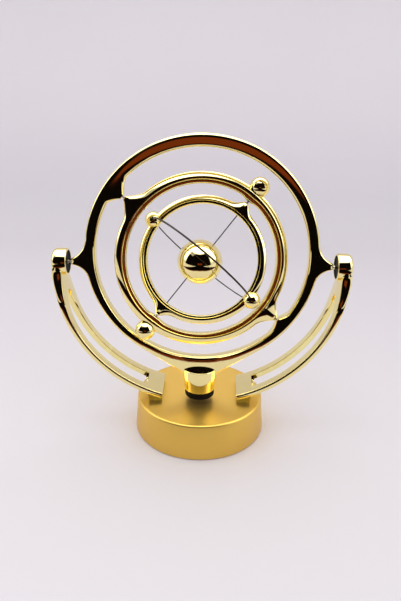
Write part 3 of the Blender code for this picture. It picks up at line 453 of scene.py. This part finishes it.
def arm_strap():
    """The strap without its slot: a bent bar with rounded edges."""
    last = math.degrees(math.acos((FOOT_INNER_X + 0.2) / (ARM_OUTER - ARM_THICKNESS / 2.0)))
    loops = []
    top = list(np.linspace(ARM_TOP, 1.5, 16))
    for degrees in top + list(np.linspace(2.0, last, 140)):
        half = arm_half_width(degrees)
        outer = arm_outer_radius(degrees)
        inner = arm_inner_radius(degrees)
        reach = STRAP_CROWN_SHARE * (outer - inner)
        loop = []
        corners = ((outer, half, 0), (inner, half, 90), (inner, -half, 180), (outer, -half, 270))
        for edge_r, edge_y, start in corners:
            centre_r = edge_r - math.copysign(reach, edge_r - (outer + inner) / 2.0)
            centre_y = edge_y - math.copysign(STRAP_CROWN, edge_y)
            for step in range(STRAP_EDGE_STEPS + 1):
                turn = math.radians(start + 90.0 * step / STRAP_EDGE_STEPS)
                spot_r = centre_r + reach * math.cos(turn)
                loop.append(on_arc(spot_r, centre_y + STRAP_CROWN * math.sin(turn), degrees))
        loops.append(loop)
    return skin(loops, closed=False)


def arm_slot():
    """The slot's cutter: a round nose under the barrel, a square foot and chamfered lips."""
    inner = ARM_OUTER - ARM_THICKNESS
    beyond = 4.0
    section = [
        (inner - beyond, 0.5 * beyond + SLOT_LIP), (inner, SLOT_LIP), (inner + SLOT_LIP, 0.0),
        (ARM_OUTER - SLOT_LIP, 0.0), (ARM_OUTER, SLOT_LIP), (ARM_OUTER + beyond, beyond + SLOT_LIP),
    ]
    nose = [SLOT_START + SLOT_NOSE * (1.0 - math.cos(t)) for t in quarter(24)]
    loops = []
    for degrees in nose + list(np.linspace(SLOT_START + SLOT_NOSE + 0.6, SLOT_END, 70)):
        share = min(1.0, (degrees - SLOT_START) / SLOT_NOSE)
        opening = SLOT_NOSE_BLUNT + (1.0 - SLOT_NOSE_BLUNT) * math.sqrt(share * (2.0 - share))
        half = SLOT_HALF_WIDTH * opening
        front = [on_arc(r, -half - extra, degrees) for r, extra in section]
        back = [on_arc(r, half + extra, degrees) for r, extra in reversed(section)]
        loops.append(front + back)
    return skin(loops, closed=False)


def arm_barrel():
    """The pivot boss, hollowed for its recess and bored for its pin, with a rounded outer end."""
    profile = [
        (0.0, BARREL_FACE_X + POCKET_DEPTH),
        (POCKET_RADIUS, BARREL_FACE_X + POCKET_DEPTH),
        (POCKET_RADIUS, BARREL_FACE_X + RECESS_DEPTH),
        (RECESS_RADIUS + RECESS_GAP, BARREL_FACE_X + RECESS_DEPTH),
        (RECESS_RADIUS + RECESS_GAP, BARREL_FACE_X),
    ]
    small = BARREL_INNER_CORNER
    large = BARREL_OUTER_CORNER
    profile += corner(small, BARREL_RADIUS - small, BARREL_FACE_X + small, -90.0, 0.0, 5)
    profile += corner(large, BARREL_RADIUS - large, BARREL_END_X - large, 0.0, 90.0, 10)
    profile.append((0.0, BARREL_END_X))
    return turned(profile, 96)


def barrel_shade_disc(name, side):
    """A black disc set just inside the barrel's recess, seen past its gold rim, with a hole for the pin; its
    black is painted shade for the hollow inside of the barrel.
    """
    hole = POCKET_RADIUS + 0.1
    start = BARREL_FACE_X + RECESS_SET_BACK
    end = BARREL_FACE_X + RECESS_DEPTH - RECESS_GAP
    dish = 0.3
    rim = RECESS_RADIUS - dish
    profile = [(hole, start + dish), (rim - 0.5, start + dish), (rim, start)]
    profile += [(RECESS_RADIUS, start), (RECESS_RADIUS, end), (hole, end)]
    place = Matrix.Translation((0.0, 0.0, PIVOT_Z)) @ along((side, 0.0, 0.0))
    disc = turned(profile, 64)
    # Painted shade: black plastic gives this shallow recess the darkness of a deep hollow.
    piece(f"barrel_{name}_recess", disc, place, MATERIALS["black_plastic"], "base", [])


def arm_foot():
    """The foot block under the strap's end, its outer side curving up into the strap."""
    low = DECK_Z + 0.3
    outer = FOOT_INNER_X + FOOT_LENGTH
    side = [(FOOT_INNER_X, low), (outer - FOOT_CORNER, low), (outer, low + FOOT_CORNER)]
    for i in range(9):
        angle = math.radians(180.0 - FOOT_SWEEP_TURN * i / 8)
        x = outer + FOOT_SWEEP * (1.0 + math.cos(angle))
        side.append((x, DECK_Z + 2.0 + FOOT_SWEEP * math.sin(angle)))
    side += [(outer + 1.0, DECK_Z + 8.4), (FOOT_INNER_X, DECK_Z + 5.9)]
    half = ARM_HALF_WIDTH - 0.4
    return skin([[(x, y, z) for x, z in side] for y in (-half, half)], closed=False)


def arm(name, side):
    """One arm, joined from strap, barrel and foot. The left one is the right one turned half round."""
    turn = Matrix() if side > 0 else Matrix.Rotation(math.pi, 4, "Z")
    scale = Matrix.Scale(MM, 4) @ turn
    gold = MATERIALS["chrome_gold"]
    obj = piece(f"arm_{name}_gold", arm_strap(), turn, gold, "base", [f"arm_{name}"])
    tools = (
        (arm_slot(), Matrix(), "DIFFERENCE"),
        (arm_foot(), Matrix(), "UNION"),
        (arm_barrel(), along((1.0, 0.0, 0.0), (0.0, 0.0, PIVOT_Z)), "UNION"),
    )
    for bm, place, operation in tools:
        bm.transform(scale @ place)
        boolean(obj, bm, operation)
    level = turn @ Matrix.Translation((0.0, 0.0, PIVOT_Z))
    for radius, depth in ((RECESS_RADIUS + RECESS_GAP, RECESS_DEPTH), (POCKET_RADIUS, POCKET_DEPTH)):
        drill(obj, level, radius, BARREL_FACE_X - 1.0, BARREL_FACE_X + depth, (1.0, 0.0, 0.0))
    smooth_again(obj)
    barrel_shade_disc(name, float(side))


def smooth_again(obj, sharp=32.0):
    """Restores smooth shading and sharp edges after a Boolean."""
    obj.data.shade_smooth()
    obj.data.set_sharp_from_angle(angle=math.radians(sharp))


# ---------------------------------------------------------------- rings


def wrap(angle):
    return (angle + math.pi) % (2.0 * math.pi) - math.pi


def fillet_reach(theta, centre_x, centre_z, radius):
    """Distance along a ray to the near side of a fillet circle, or None where the ray misses it."""
    reach = centre_x * math.cos(theta) + centre_z * math.sin(theta)
    under = reach * reach - centre_x**2 - centre_z**2 + radius * radius
    if under < 0.0:
        return None
    return reach - math.sqrt(under)


def horn_reach(theta):
    """Outer radius in a horn: concave fillets from the ring to the pin, cut off at the tip."""
    pin = math.atan2(-OUTER_CENTRE_Z, HORN_TIP_X)
    for radius, sign in ((HORN_FILLET_TOP, 1.0), (HORN_FILLET_BOTTOM, -1.0)):
        centre_z = sign * (HORN_TIP_HALF + radius) - OUTER_CENTRE_Z
        centre_x = math.sqrt((OUTER_RADIUS + radius) ** 2 - centre_z**2)
        tangent = math.atan2(centre_z, centre_x)
        if (theta - pin) * sign >= 0.0 and (tangent - theta) * sign > 0.0:
            limit = HORN_TIP_X / math.cos(theta)
            return max(OUTER_RADIUS, min(limit, fillet_reach(theta, centre_x, centre_z, radius) or limit))
    return OUTER_RADIUS


def neck_reach(theta):
    """Outer radius at the bottom: straight sides that leave the ring and meet at the pendulum."""
    from_bottom = abs(wrap(theta + math.pi / 2.0))
    if from_bottom >= NECK_SLOPE:
        return OUTER_RADIUS
    limit = (OUTER_CENTRE_Z - NECK_BOTTOM_Z) / math.cos(from_bottom)
    return min(limit, OUTER_RADIUS / math.cos(NECK_SLOPE - from_bottom))


def bump(distance, flat, reach, power):
    """A boss's outline: 1 on its flat tip, falling in a concave curve to 0."""
    t = min(1.0, max(0.0, (abs(distance) - flat) / reach))
    return (1.0 - t) ** power


def outer_outline(theta):
    """Outer radius, inner radius and the two edge widths of the outer ring."""
    theta = wrap(theta)
    right = theta if abs(theta) <= math.pi / 2.0 else wrap(math.pi - theta)
    outside = max(horn_reach(right), neck_reach(theta))
    drop = OUTER_CENTRE_Z - HOLE_CENTRE_Z
    inside = -drop * math.sin(theta) + math.sqrt(HOLE_RADIUS**2 - (drop * math.cos(theta)) ** 2)
    plain = min(outside, OUTER_RADIUS) - inside
    inner_edge = INNER_EDGE_SHARE * plain
    outer_edge = OUTER_EDGE_SHARE * plain
    for sign, long_side in BOSS_LONG.items():
        tip_x = sign * OUTER_BOSS_TIP * math.cos(SLANT)
        tip_z = GIMBAL_Z - sign * OUTER_BOSS_TIP * math.sin(SLANT) - OUTER_CENTRE_Z
        along_ring = wrap(theta - math.atan2(tip_z, tip_x)) * HOLE_RADIUS
        reach, power = BOSS_SHORT if along_ring > 0.0 else long_side
        weight = bump(along_ring, OUTER_BOSS_FLAT, reach, power)
        inside -= (inside - math.hypot(tip_x, tip_z)) * weight
        inner_edge *= 1.0 - 0.55 * weight
    from_bottom = abs(wrap(theta + math.pi / 2.0)) * HOLE_RADIUS
    inner_edge += SCOOP_EXTRA * (1.0 - smoothstep(0.5 * SCOOP_WIDTH, SCOOP_WIDTH, from_bottom))
    if outside > OUTER_RADIUS + 0.5 and abs(math.cos(theta)) > 0.5:
        height = abs(outside * math.sin(theta) + OUTER_CENTRE_Z)
        outer_edge *= min(1.0, 0.25 + height / 12.0)
    return outside, inside, outer_edge, inner_edge


def inset(points, widths, sign):
    """Moves each outline point square to the outline, towards the material."""
    before = np.roll(points, 1, axis=0)
    after = np.roll(points, -1, axis=0)
    run = after - before
    run /= np.linalg.norm(run, axis=1)[:, None]
    normal = np.stack([-run[:, 1], run[:, 0]], axis=1) * sign
    return points + normal * widths[:, None]


def quarter(steps):
    return [math.pi / 2.0 * i / steps for i in range(steps + 1)]


def outer_ring_mesh(stations=900, steps=7):
    """The outer ring: flat front and back between rounded edges."""
    angles = [2.0 * math.pi * (i + 0.5) / stations for i in range(stations)]
    rows = np.array([outer_outline(a) for a in angles])
    direction = np.stack([np.cos(angles), np.sin(angles)], axis=1)
    outer = direction * rows[:, :1]
    inner = direction * rows[:, 1:2]
    side = OUTER_HALF_DEPTH - EDGE_DEPTH
    path = []
    for t in quarter(steps):
        path.append((inset(outer, rows[:, 2] * (1.0 - math.cos(t)), 1.0), side + EDGE_DEPTH * math.sin(t)))
    brink = inset(inner, rows[:, 3], -1.0)
    start = path[-1][0]
    for share in (0.1, 0.3, 0.5, 0.7, 0.9):
        crown = FACE_CROWN * 4.0 * share * (1.0 - share)
        path.append((start + (brink - start) * share, OUTER_HALF_DEPTH + crown))
    for t in np.linspace(CHAMFER_TURN, 0.0, steps):
        step_in = (1.0 - math.cos(t)) / (1.0 - math.cos(CHAMFER_TURN))
        rise = math.sin(t) / math.sin(CHAMFER_TURN)
        path.append((inset(inner, rows[:, 3] * step_in, -1.0), side + EDGE_DEPTH * rise))
    path += [(points, -depth) for points, depth in reversed(path)]
    lift = np.array([0.0, OUTER_CENTRE_Z])
    columns = [(points + lift, depth) for points, depth in path]
    loops = [[(pts[i, 0], depth, pts[i, 1]) for pts, depth in columns] for i in range(stations)]
    return skin(loops)


def boss_outline(theta, radius, half, bosses):
    """Outer and inner radius of a ring with bosses given as (angle, tip radius, reach, flat)."""
    outside = radius + half
    inside = radius - half
    for angle, tip, reach, flat in bosses:
        edge = outside if tip > radius else inside
        weight = bump(wrap(theta - angle) * edge, flat, reach, 2.0)
        if tip > radius:
            outside += (tip - outside) * weight
        else:
            inside += (tip - inside) * weight
    return outside, inside


def stepped_ring_mesh(radius, half, depth, bosses, stations=720):
    """A ring with a chamfered outer half and a flat step on the inner half, alike front and back."""
    section = RING_SECTION + [(share, -height) for share, height in reversed(RING_SECTION[1:])]
    loops = []
    for i in range(stations):
        theta = 2.0 * math.pi * (i + 0.5) / stations
        outside, inside = boss_outline(theta, radius, half, bosses)
        loop = []
        for share, height in section:
            reach = outside - radius if share > 0.0 else radius - inside
            spot = radius + share * reach
            loop.append((spot * math.cos(theta), depth * height, spot * math.sin(theta)))
        loops.append(loop)
    return skin(loops)


def outer_ring():
    obj = piece(
        "outer_ring_gold", outer_ring_mesh(), swing_frame(), MATERIALS["chrome_gold"], "swing",
        ["outer_ring"], 30.0,
    )
    for side in (-1.0, 1.0):
        direction = (side * math.cos(SLANT), 0.0, -side * math.sin(SLANT))
        face = OUTER_BOSS_TIP
        drill(obj, gimbal_frame(), POCKET_RADIUS, face - 2.0, face + POCKET_DEPTH, direction)
    smooth_again(obj, 30.0)


def middle_ring():
    bosses = [(angle, MIDDLE_BOSS_TIP, MIDDLE_BOSS_REACH, BOSS_FLAT) for angle in (0.0, math.pi)]
    for angle in (math.pi / 2.0, -math.pi / 2.0):
        bosses.append((angle, MIDDLE_INNER_BOSS_TIP, MIDDLE_INNER_BOSS_REACH, MIDDLE_INNER_BOSS_FLAT))
    mesh = stepped_ring_mesh(MIDDLE_RADIUS, MIDDLE_HALF_WIDTH, MIDDLE_HALF_DEPTH, bosses)
    gold = MATERIALS["chrome_gold"]
    obj = piece("middle_ring_gold", mesh, middle_frame(), gold, "middle", ["middle_ring"])
    for side in (-1.0, 1.0):
        face = MIDDLE_INNER_BOSS_TIP
        drill(obj, middle_frame(), POCKET_RADIUS, face - 2.0, face + POCKET_DEPTH, (0.0, 0.0, side))
    smooth_again(obj)
    for name, side in (("upper", 1.0), ("lower", -1.0)):
        place = middle_frame() @ Matrix.Translation((0.0, 0.0, side * LARGE_BALL_AT))
        ball = turned(sphere_profile(LARGE_BALL), 96)
        piece(f"large_ball_{name}_gold", ball, place, gold, "middle", [f"large_ball_{name}"])


def inner_ring():
    bosses = [(side * math.pi / 2.0, INNER_BOSS_TIP, INNER_BOSS_REACH, BOSS_FLAT) for side in (1.0, -1.0)]
    mesh = stepped_ring_mesh(INNER_RADIUS, INNER_HALF_WIDTH, INNER_HALF_DEPTH, bosses, 600)
    gold = MATERIALS["chrome_gold"]
    piece("inner_ring_gold", mesh, inner_frame(), gold, "inner", ["inner_ring"])
    for name, side in (("lower", 1.0), ("upper", -1.0)):
        place = inner_frame() @ along((1.0, 0.0, 0.0), (side * SMALL_BALL_AT, 0.0, 0.0))
        ball = turned(sphere_profile(SMALL_BALL), 96)
        piece(f"small_ball_{name}_gold", ball, place, gold, "inner", [f"small_ball_{name}"])
    sphere = turned(sphere_profile(SPHERE, 72), 128)
    place = inner_frame() @ Matrix.Translation((0.0, 0.0, SPHERE_SLIP))
    piece("centre_sphere_gold", sphere, place, gold, "inner", ["centre_sphere"])
    half = INNER_RADIUS - INNER_HALF_WIDTH + AXLE_SEAT
    axle = turned([(0.0, -half), (AXLE_WIRE, -half), (AXLE_WIRE, half), (0.0, half)], 24)
    piece("sphere_axle_wire", axle, inner_frame(), MATERIALS["dark_wire"], "inner", ["sphere_axle"])
    orbit_wires()


def orbit_wires():
    """The two halves of the orbit wire, before and behind the ring's plane, ending inside the balls."""
    seat = WIRE_SEAT / ORBIT_RADIUS
    place = inner_frame() @ Matrix.Rotation(WIRE_LEAN, 4, "X")
    for name, side in (("front", -1.0), ("back", 1.0)):
        wire = WIRES[name]
        loops = []
        for angle in np.linspace(side * seat, side * (math.pi - seat), 160):
            out = Vector((math.cos(angle), math.sin(angle), 0.0))
            up = Vector((0.0, 0.0, 1.0))
            loop = []
            for k in range(16):
                turn = 2.0 * math.pi * k / 16
                loop.append(out * (ORBIT_RADIUS + wire * math.cos(turn)) + up * (wire * math.sin(turn)))
            loops.append(loop)
        piece(
            f"orbit_wire_{name}_arc", skin(loops, closed=False), place, MATERIALS["dark_wire"], "inner",
            [f"orbit_wire_{name}"], 60.0,
        )


# ---------------------------------------------------------------- pendulum and pins


def pendulum():
    """The round weight under the ring's neck, flat on top, and the black cap below."""
    rim = WEIGHT_RIM
    profile = [(0.0, WEIGHT_TOP), (WEIGHT_TOP_RADIUS - rim, WEIGHT_TOP)]
    profile += corner(rim, WEIGHT_TOP_RADIUS - rim, WEIGHT_TOP - rim, 75.0, 0.0, 5)
    profile += corner(rim, WEIGHT_LOW_RADIUS - rim, WEIGHT_BOTTOM + rim, 0.0, -90.0, 5)
    ceiling = WEIGHT_BOTTOM + WEIGHT_BORE_DEPTH
    profile += [(WEIGHT_BORE_RADIUS, WEIGHT_BOTTOM), (WEIGHT_BORE_RADIUS, ceiling), (0.0, ceiling)]
    top = Matrix.Translation((0.0, 0.0, WEIGHT_TOP))
    place = swing_frame() @ top @ Matrix.Rotation(WEIGHT_LEAN, 4, "X") @ top.inverted()
    piece(
        "pendulum_weight_gold", turned(profile, 128), place, MATERIALS["chrome_gold"], "swing",
        ["pendulum_weight", "pendulum_screw"],
    )
    seat = WEIGHT_BOTTOM - CAP_GAP
    cap = [(0.0, CAP_BOTTOM), (CAP_RADIUS * 0.5, CAP_BOTTOM)]
    cap += corner(CAP_CORNER, CAP_RADIUS - CAP_CORNER, CAP_BOTTOM + CAP_CORNER, -90.0, 0.0, 5)
    cap += [(CAP_RADIUS, seat), (0.0, seat)]
    piece(
        "magnet_cap_black", turned(cap, 96), place, MATERIALS["black_plastic"], "swing",
        ["magnet_cap"],
    )


def swing_pins():
    """The steel pins the outer ring hangs on, each with a pointed tip."""
    profile = [(0.0, PIN_START_X), (PIN_RADIUS, PIN_START_X), (PIN_RADIUS, PIN_END_X - PIN_POINT)]
    profile += [(PIN_POINT_RADIUS, PIN_END_X), (0.0, PIN_END_X)]
    for name, side in (("left", -1.0), ("right", 1.0)):
        place = swing_frame() @ along((side, 0.0, 0.0))
        pin = turned(profile, 32)
        piece(
            f"swing_pin_{name}_steel", pin, place, MATERIALS["steel"], "swing", [f"swing_pin_{name}"]
        )


# ---------------------------------------------------------------- materials


def new_material(name):
    material = bpy.data.materials.new(name)
    material.use_nodes = True
    return material, material.node_tree.nodes, material.node_tree.links


def noise(nodes, links, scale, detail=4.0, vector=None):
    """A noise texture in object space; the object's own metres keep its size fixed."""
    texture = nodes.new("ShaderNodeTexNoise")
    texture.inputs["Scale"].default_value = scale
    texture.inputs["Detail"].default_value = detail
    if vector is None:
        vector = nodes.new("ShaderNodeTexCoord").outputs["Object"]
    links.new(vector, texture.inputs["Vector"])
    return texture.outputs["Fac"]


def spread(nodes, links, value, low, high):
    """Maps the middle of a noise to a range."""
    remap = nodes.new("ShaderNodeMapRange")
    remap.inputs["From Min"].default_value = 0.3
    remap.inputs["From Max"].default_value = 0.7
    remap.inputs["To Min"].default_value = low
    remap.inputs["To Max"].default_value = high
    links.new(value, remap.inputs["Value"])
    return remap.outputs["Result"]


def mix_colour(nodes, links, factor, first, second):
    mix = nodes.new("ShaderNodeMix")
    mix.data_type = "RGBA"
    links.new(factor, mix.inputs["Factor"])
    mix.inputs["A"].default_value = (*first, 1.0)
    if isinstance(second, tuple):
        mix.inputs["B"].default_value = (*second, 1.0)
    else:
        links.new(second, mix.inputs["B"])
    return mix.outputs["Result"]


def edge_factor(nodes, links, low, high):
    """Grows from 0 to 1 on outside edges, for wear."""
    geometry = nodes.new("ShaderNodeNewGeometry")
    ramp = nodes.new("ShaderNodeMapRange")
    ramp.inputs["From Min"].default_value = low
    ramp.inputs["From Max"].default_value = high
    links.new(geometry.outputs["Pointiness"], ramp.inputs["Value"])
    return ramp.outputs["Result"]


def finish_material(name, colour, second, roughness, metallic, specular, patch_scale, bump, bump_scale):
    """A Principled material whose colour, roughness and bump vary in small patches, with worn edges."""
    material, nodes, links = new_material(name)
    shader = nodes["Principled BSDF"]
    shader.inputs["Metallic"].default_value = metallic
    shader.inputs["Specular IOR Level"].default_value = specular
    patches = spread(nodes, links, noise(nodes, links, patch_scale), 0.0, 1.0)
    base = mix_colour(nodes, links, patches, colour, second)
    bright = tuple(min(1.0, c * WEAR_GAIN) for c in colour)
    wear = mix_colour(nodes, links, edge_factor(nodes, links, *WEAR_EDGES), colour, bright)
    blend = nodes.new("ShaderNodeMix")
    blend.data_type = "RGBA"
    blend.inputs["Factor"].default_value = 0.5
    links.new(base, blend.inputs["A"])
    links.new(wear, blend.inputs["B"])
    links.new(blend.outputs["Result"], shader.inputs["Base Color"])
    rough = spread(nodes, links, noise(nodes, links, patch_scale * 2.7, 6.0), *roughness)
    links.new(rough, shader.inputs["Roughness"])
    relief = nodes.new("ShaderNodeBump")
    relief.inputs["Strength"].default_value = bump
    relief.inputs["Distance"].default_value = BUMP_DISTANCE
    links.new(noise(nodes, links, bump_scale, 3.0), relief.inputs["Height"])
    links.new(relief.outputs["Normal"], shader.inputs["Normal"])
    return material


def make_materials():
    """One material for each slot of the record, and one for the wires."""
    return {name: finish_material(name, *finish) for name, finish in FINISHES.items()}


def dress_cad_nodes():
    """CAD nodes that stay shown take the material of their slot in the record."""
    slots = {row["node"]: row["material_slot"] for row in frame["record"]["subparts"]}
    for name, node in frame["nodes"].items():
        node.data.materials.clear()
        node.data.materials.append(MATERIALS[slots[name]])


# ---------------------------------------------------------------- studio


def floor():
    """A pale sweep under and behind the toy."""
    profile = [(FLOOR_FRONT, 0.0), (0.0, 0.0), (SWEEP_START, 0.0)]
    for t in quarter(16)[1:]:
        profile.append((SWEEP_START + SWEEP_RADIUS * math.sin(t), SWEEP_RADIUS * (1.0 - math.cos(t))))
    profile.append((SWEEP_START + SWEEP_RADIUS, SWEEP_TOP))
    bm = bmesh.new()
    ends = (-FLOOR_HALF_WIDTH, FLOOR_HALF_WIDTH)
    rows = [[bm.verts.new((x, y, z)) for x in ends] for y, z in profile]
    for low, high in zip(rows, rows[1:]):
        bm.faces.new((low[0], low[1], high[1], high[0]))
    mesh = bpy.data.meshes.new("floor")
    bm.to_mesh(mesh)
    bm.free()
    mesh.shade_smooth()
    mesh.materials.append(floor_material())
    obj = bpy.data.objects.new("floor", mesh)
    bpy.context.collection.objects.link(obj)


def floor_material():
    """Pale paper, with painted shade that darkens and lightens it from front to back. Mirrors also see its
    front edge, the brown table beyond it and then the dark room.
    """
    material, nodes, links = new_material("floor_paper")
    shader = nodes["Principled BSDF"]
    patches = spread(nodes, links, noise(nodes, links, 3.0), 0.0, 1.0)
    base = mix_colour(nodes, links, patches, PALE, tuple(c * PALE_SPECKLE for c in PALE))
    shader.inputs["Roughness"].default_value = 0.6
    place = nodes.new("ShaderNodeSeparateXYZ")
    links.new(nodes.new("ShaderNodeNewGeometry").outputs["Position"], place.inputs["Vector"])
    depth = math_node(nodes, links, "DIVIDE", place.outputs["Y"], SWEEP_START + SWEEP_RADIUS)
    # Painted shade: the paper's colour is multiplied by FLOOR_SHADE along the way back.
    blend = nodes.new("ShaderNodeMix")
    blend.data_type = "RGBA"
    blend.blend_type = "MULTIPLY"
    blend.inputs["Factor"].default_value = 1.0
    links.new(base, blend.inputs["A"])
    links.new(ramp_between(nodes, links, depth, FLOOR_SHADE), blend.inputs["B"])
    links.new(blend.outputs["Result"], shader.inputs["Base Color"])
    width = math_node(nodes, links, "ABSOLUTE", place.outputs["X"], 0.0)
    past = math_node(nodes, links, "MAXIMUM", math_node(nodes, links, "SUBTRACT", width, PAPER_CORNER_X), 0.0)
    slant = math_node(nodes, links, "MULTIPLY", past, PAPER_CORNER_SLANT)
    reach = math_node(nodes, links, "SUBTRACT", place.outputs["Y"], slant)
    beyond = smooth_range(nodes, links, reach, PAPER_EDGE_Y + 0.004, PAPER_EDGE_Y - 0.004)
    inside = window(nodes, links, place.outputs["X"], -TABLE_HALF_WIDTH, TABLE_HALF_WIDTH, 0.03)
    glossy = nodes.new("ShaderNodeLightPath").outputs["Is Glossy Ray"]
    share = math_node(nodes, links, "MULTIPLY", math_node(nodes, links, "MULTIPLY", beyond, inside), glossy)
    dark = nodes.new("ShaderNodeEmission")
    far = smooth_range(nodes, links, reach, TABLE_EDGE_Y + 0.02, TABLE_EDGE_Y - 0.02)
    links.new(mix_sockets(nodes, links, far, RED, BLACK), dark.inputs["Color"])
    mix = nodes.new("ShaderNodeMixShader")
    links.new(share, mix.inputs["Fac"])
    links.new(shader.outputs["BSDF"], mix.inputs[1])
    links.new(dark.outputs["Emission"], mix.inputs[2])
    links.new(mix.outputs["Shader"], nodes["Material Output"].inputs["Surface"])
    return material


def ramp_between(nodes, links, value, points):
    """A colour ramp through (position, colour) points."""
    ramp = nodes.new("ShaderNodeValToRGB")
    elements = ramp.color_ramp.elements
    while len(elements) > 1:
        elements.remove(elements[-1])
    elements[0].position = points[0][0]
    elements[0].color = (*points[0][1], 1.0)
    for position, colour in points[1:]:
        element = elements.new(position)
        element.color = (*colour, 1.0)
    links.new(value, ramp.inputs["Fac"])
    return ramp.outputs["Color"]


def math_node(nodes, links, operation, first, second):
    node = nodes.new("ShaderNodeMath")
    node.operation = operation
    for index, value in enumerate((first, second)):
        if isinstance(value, (int, float)):
            node.inputs[index].default_value = value
        else:
            links.new(value, node.inputs[index])
    return node.outputs[0]


def studio_world():
    """Soft light for plain surfaces; for mirrors, a bright tent that is open to a dark room in front."""
    world = bpy.data.worlds.new("tent")
    bpy.context.scene.world = world
    world.use_nodes = True
    nodes = world.node_tree.nodes
    links = world.node_tree.links
    way = nodes.new("ShaderNodeSeparateXYZ")
    links.new(nodes.new("ShaderNodeTexCoord").outputs["Generated"], way.inputs["Vector"])
    height = math_node(nodes, links, "ADD", math_node(nodes, links, "MULTIPLY", way.outputs["Z"], 0.5), 0.5)
    soft = ramp_between(nodes, links, height, SOFT_DOME)
    mirrored = ramp_between(nodes, links, height, MIRRORED_TENT)
    backwards = math_node(nodes, links, "MULTIPLY", way.outputs["Y"], -1.0)
    azimuth = math_node(nodes, links, "ARCTAN2", way.outputs["X"], backwards)
    azimuth = math_node(nodes, links, "DEGREES", azimuth, 0.0)
    elevation = math_node(nodes, links, "ARCSINE", way.outputs["Z"], 0.0)
    elevation = math_node(nodes, links, "DEGREES", elevation, 0.0)
    for left, right, low, high, softness, colour in PATCHES:
        across = window(nodes, links, azimuth, left, right, softness)
        upright = window(nodes, links, elevation, low, high, softness)
        share = math_node(nodes, links, "MULTIPLY", across, upright)
        mirrored = mix_sockets(nodes, links, share, mirrored, colour)
    path = nodes.new("ShaderNodeLightPath")
    colour = mix_sockets(nodes, links, path.outputs["Is Glossy Ray"], soft, mirrored)
    links.new(colour, nodes["Background"].inputs["Color"])


def window(nodes, links, value, low, high, softness):
    """1 between two values, with soft edges."""
    rise = smooth_range(nodes, links, value, low - softness, low + softness)
    fall = smooth_range(nodes, links, value, high + softness, high - softness)
    return math_node(nodes, links, "MULTIPLY", rise, fall)


def smooth_range(nodes, links, value, low, high):
    node = nodes.new("ShaderNodeMapRange")
    node.interpolation_type = "SMOOTHSTEP"
    node.inputs["From Min"].default_value = low
    node.inputs["From Max"].default_value = high
    links.new(value, node.inputs["Value"])
    return node.outputs["Result"]


def mix_sockets(nodes, links, factor, first, second):
    mix = nodes.new("ShaderNodeMix")
    mix.data_type = "RGBA"
    links.new(factor, mix.inputs["Factor"])
    for key, value in (("A", first), ("B", second)):
        if isinstance(value, tuple):
            mix.inputs[key].default_value = (*value, 1.0)
        else:
            links.new(value, mix.inputs[key])
    return mix.outputs["Result"]


def lamp(name, at, size, power, colour=(1.0, 1.0, 1.0)):
    """A soft square light aimed at the middle of the toy."""
    data = bpy.data.lights.new(name, "AREA")
    data.size = size
    data.energy = power
    data.color = colour
    obj = bpy.data.objects.new(name, data)
    bpy.context.collection.objects.link(obj)
    obj.location = at
    aim = Vector(LIGHT_AIM) - Vector(at)
    obj.rotation_euler = aim.to_track_quat("-Z", "Y").to_euler()


def lights():
    lamp("key_top", (-0.35, -0.1, 0.9), 0.7, 0.8)


def colour_management():
    """Plain sRGB, so that pale paper and bright gold keep their clean tones."""
    bpy.context.scene.view_settings.view_transform = "Standard"
    bpy.context.scene.view_settings.look = "None"


def camera():
    data = bpy.data.cameras.new("camera")
    data.sensor_width = CAMERA_SENSOR
    data.lens = CAMERA_LENS
    data.clip_start = 0.01
    data.clip_end = 20.0
    obj = bpy.data.objects.new("camera", data)
    bpy.context.collection.objects.link(obj)
    turn = Matrix.Rotation(math.radians(CAMERA_YAW), 4, "Z")
    tip = Matrix.Rotation(math.radians(90.0 - CAMERA_PITCH), 4, "X")
    roll = Matrix.Rotation(math.radians(CAMERA_ROLL), 4, "Z")
    obj.matrix_world = Matrix.Translation(Vector(CAMERA_AT) * MM) @ turn @ tip @ roll
    bpy.context.scene.camera = obj


MATERIALS = make_materials()
dress_cad_nodes()
base_body()
arm("left", -1)
arm("right", 1)
outer_ring()
pendulum()
swing_pins()
middle_ring()
inner_ring()
floor()
studio_world()
lights()
colour_management()
camera()
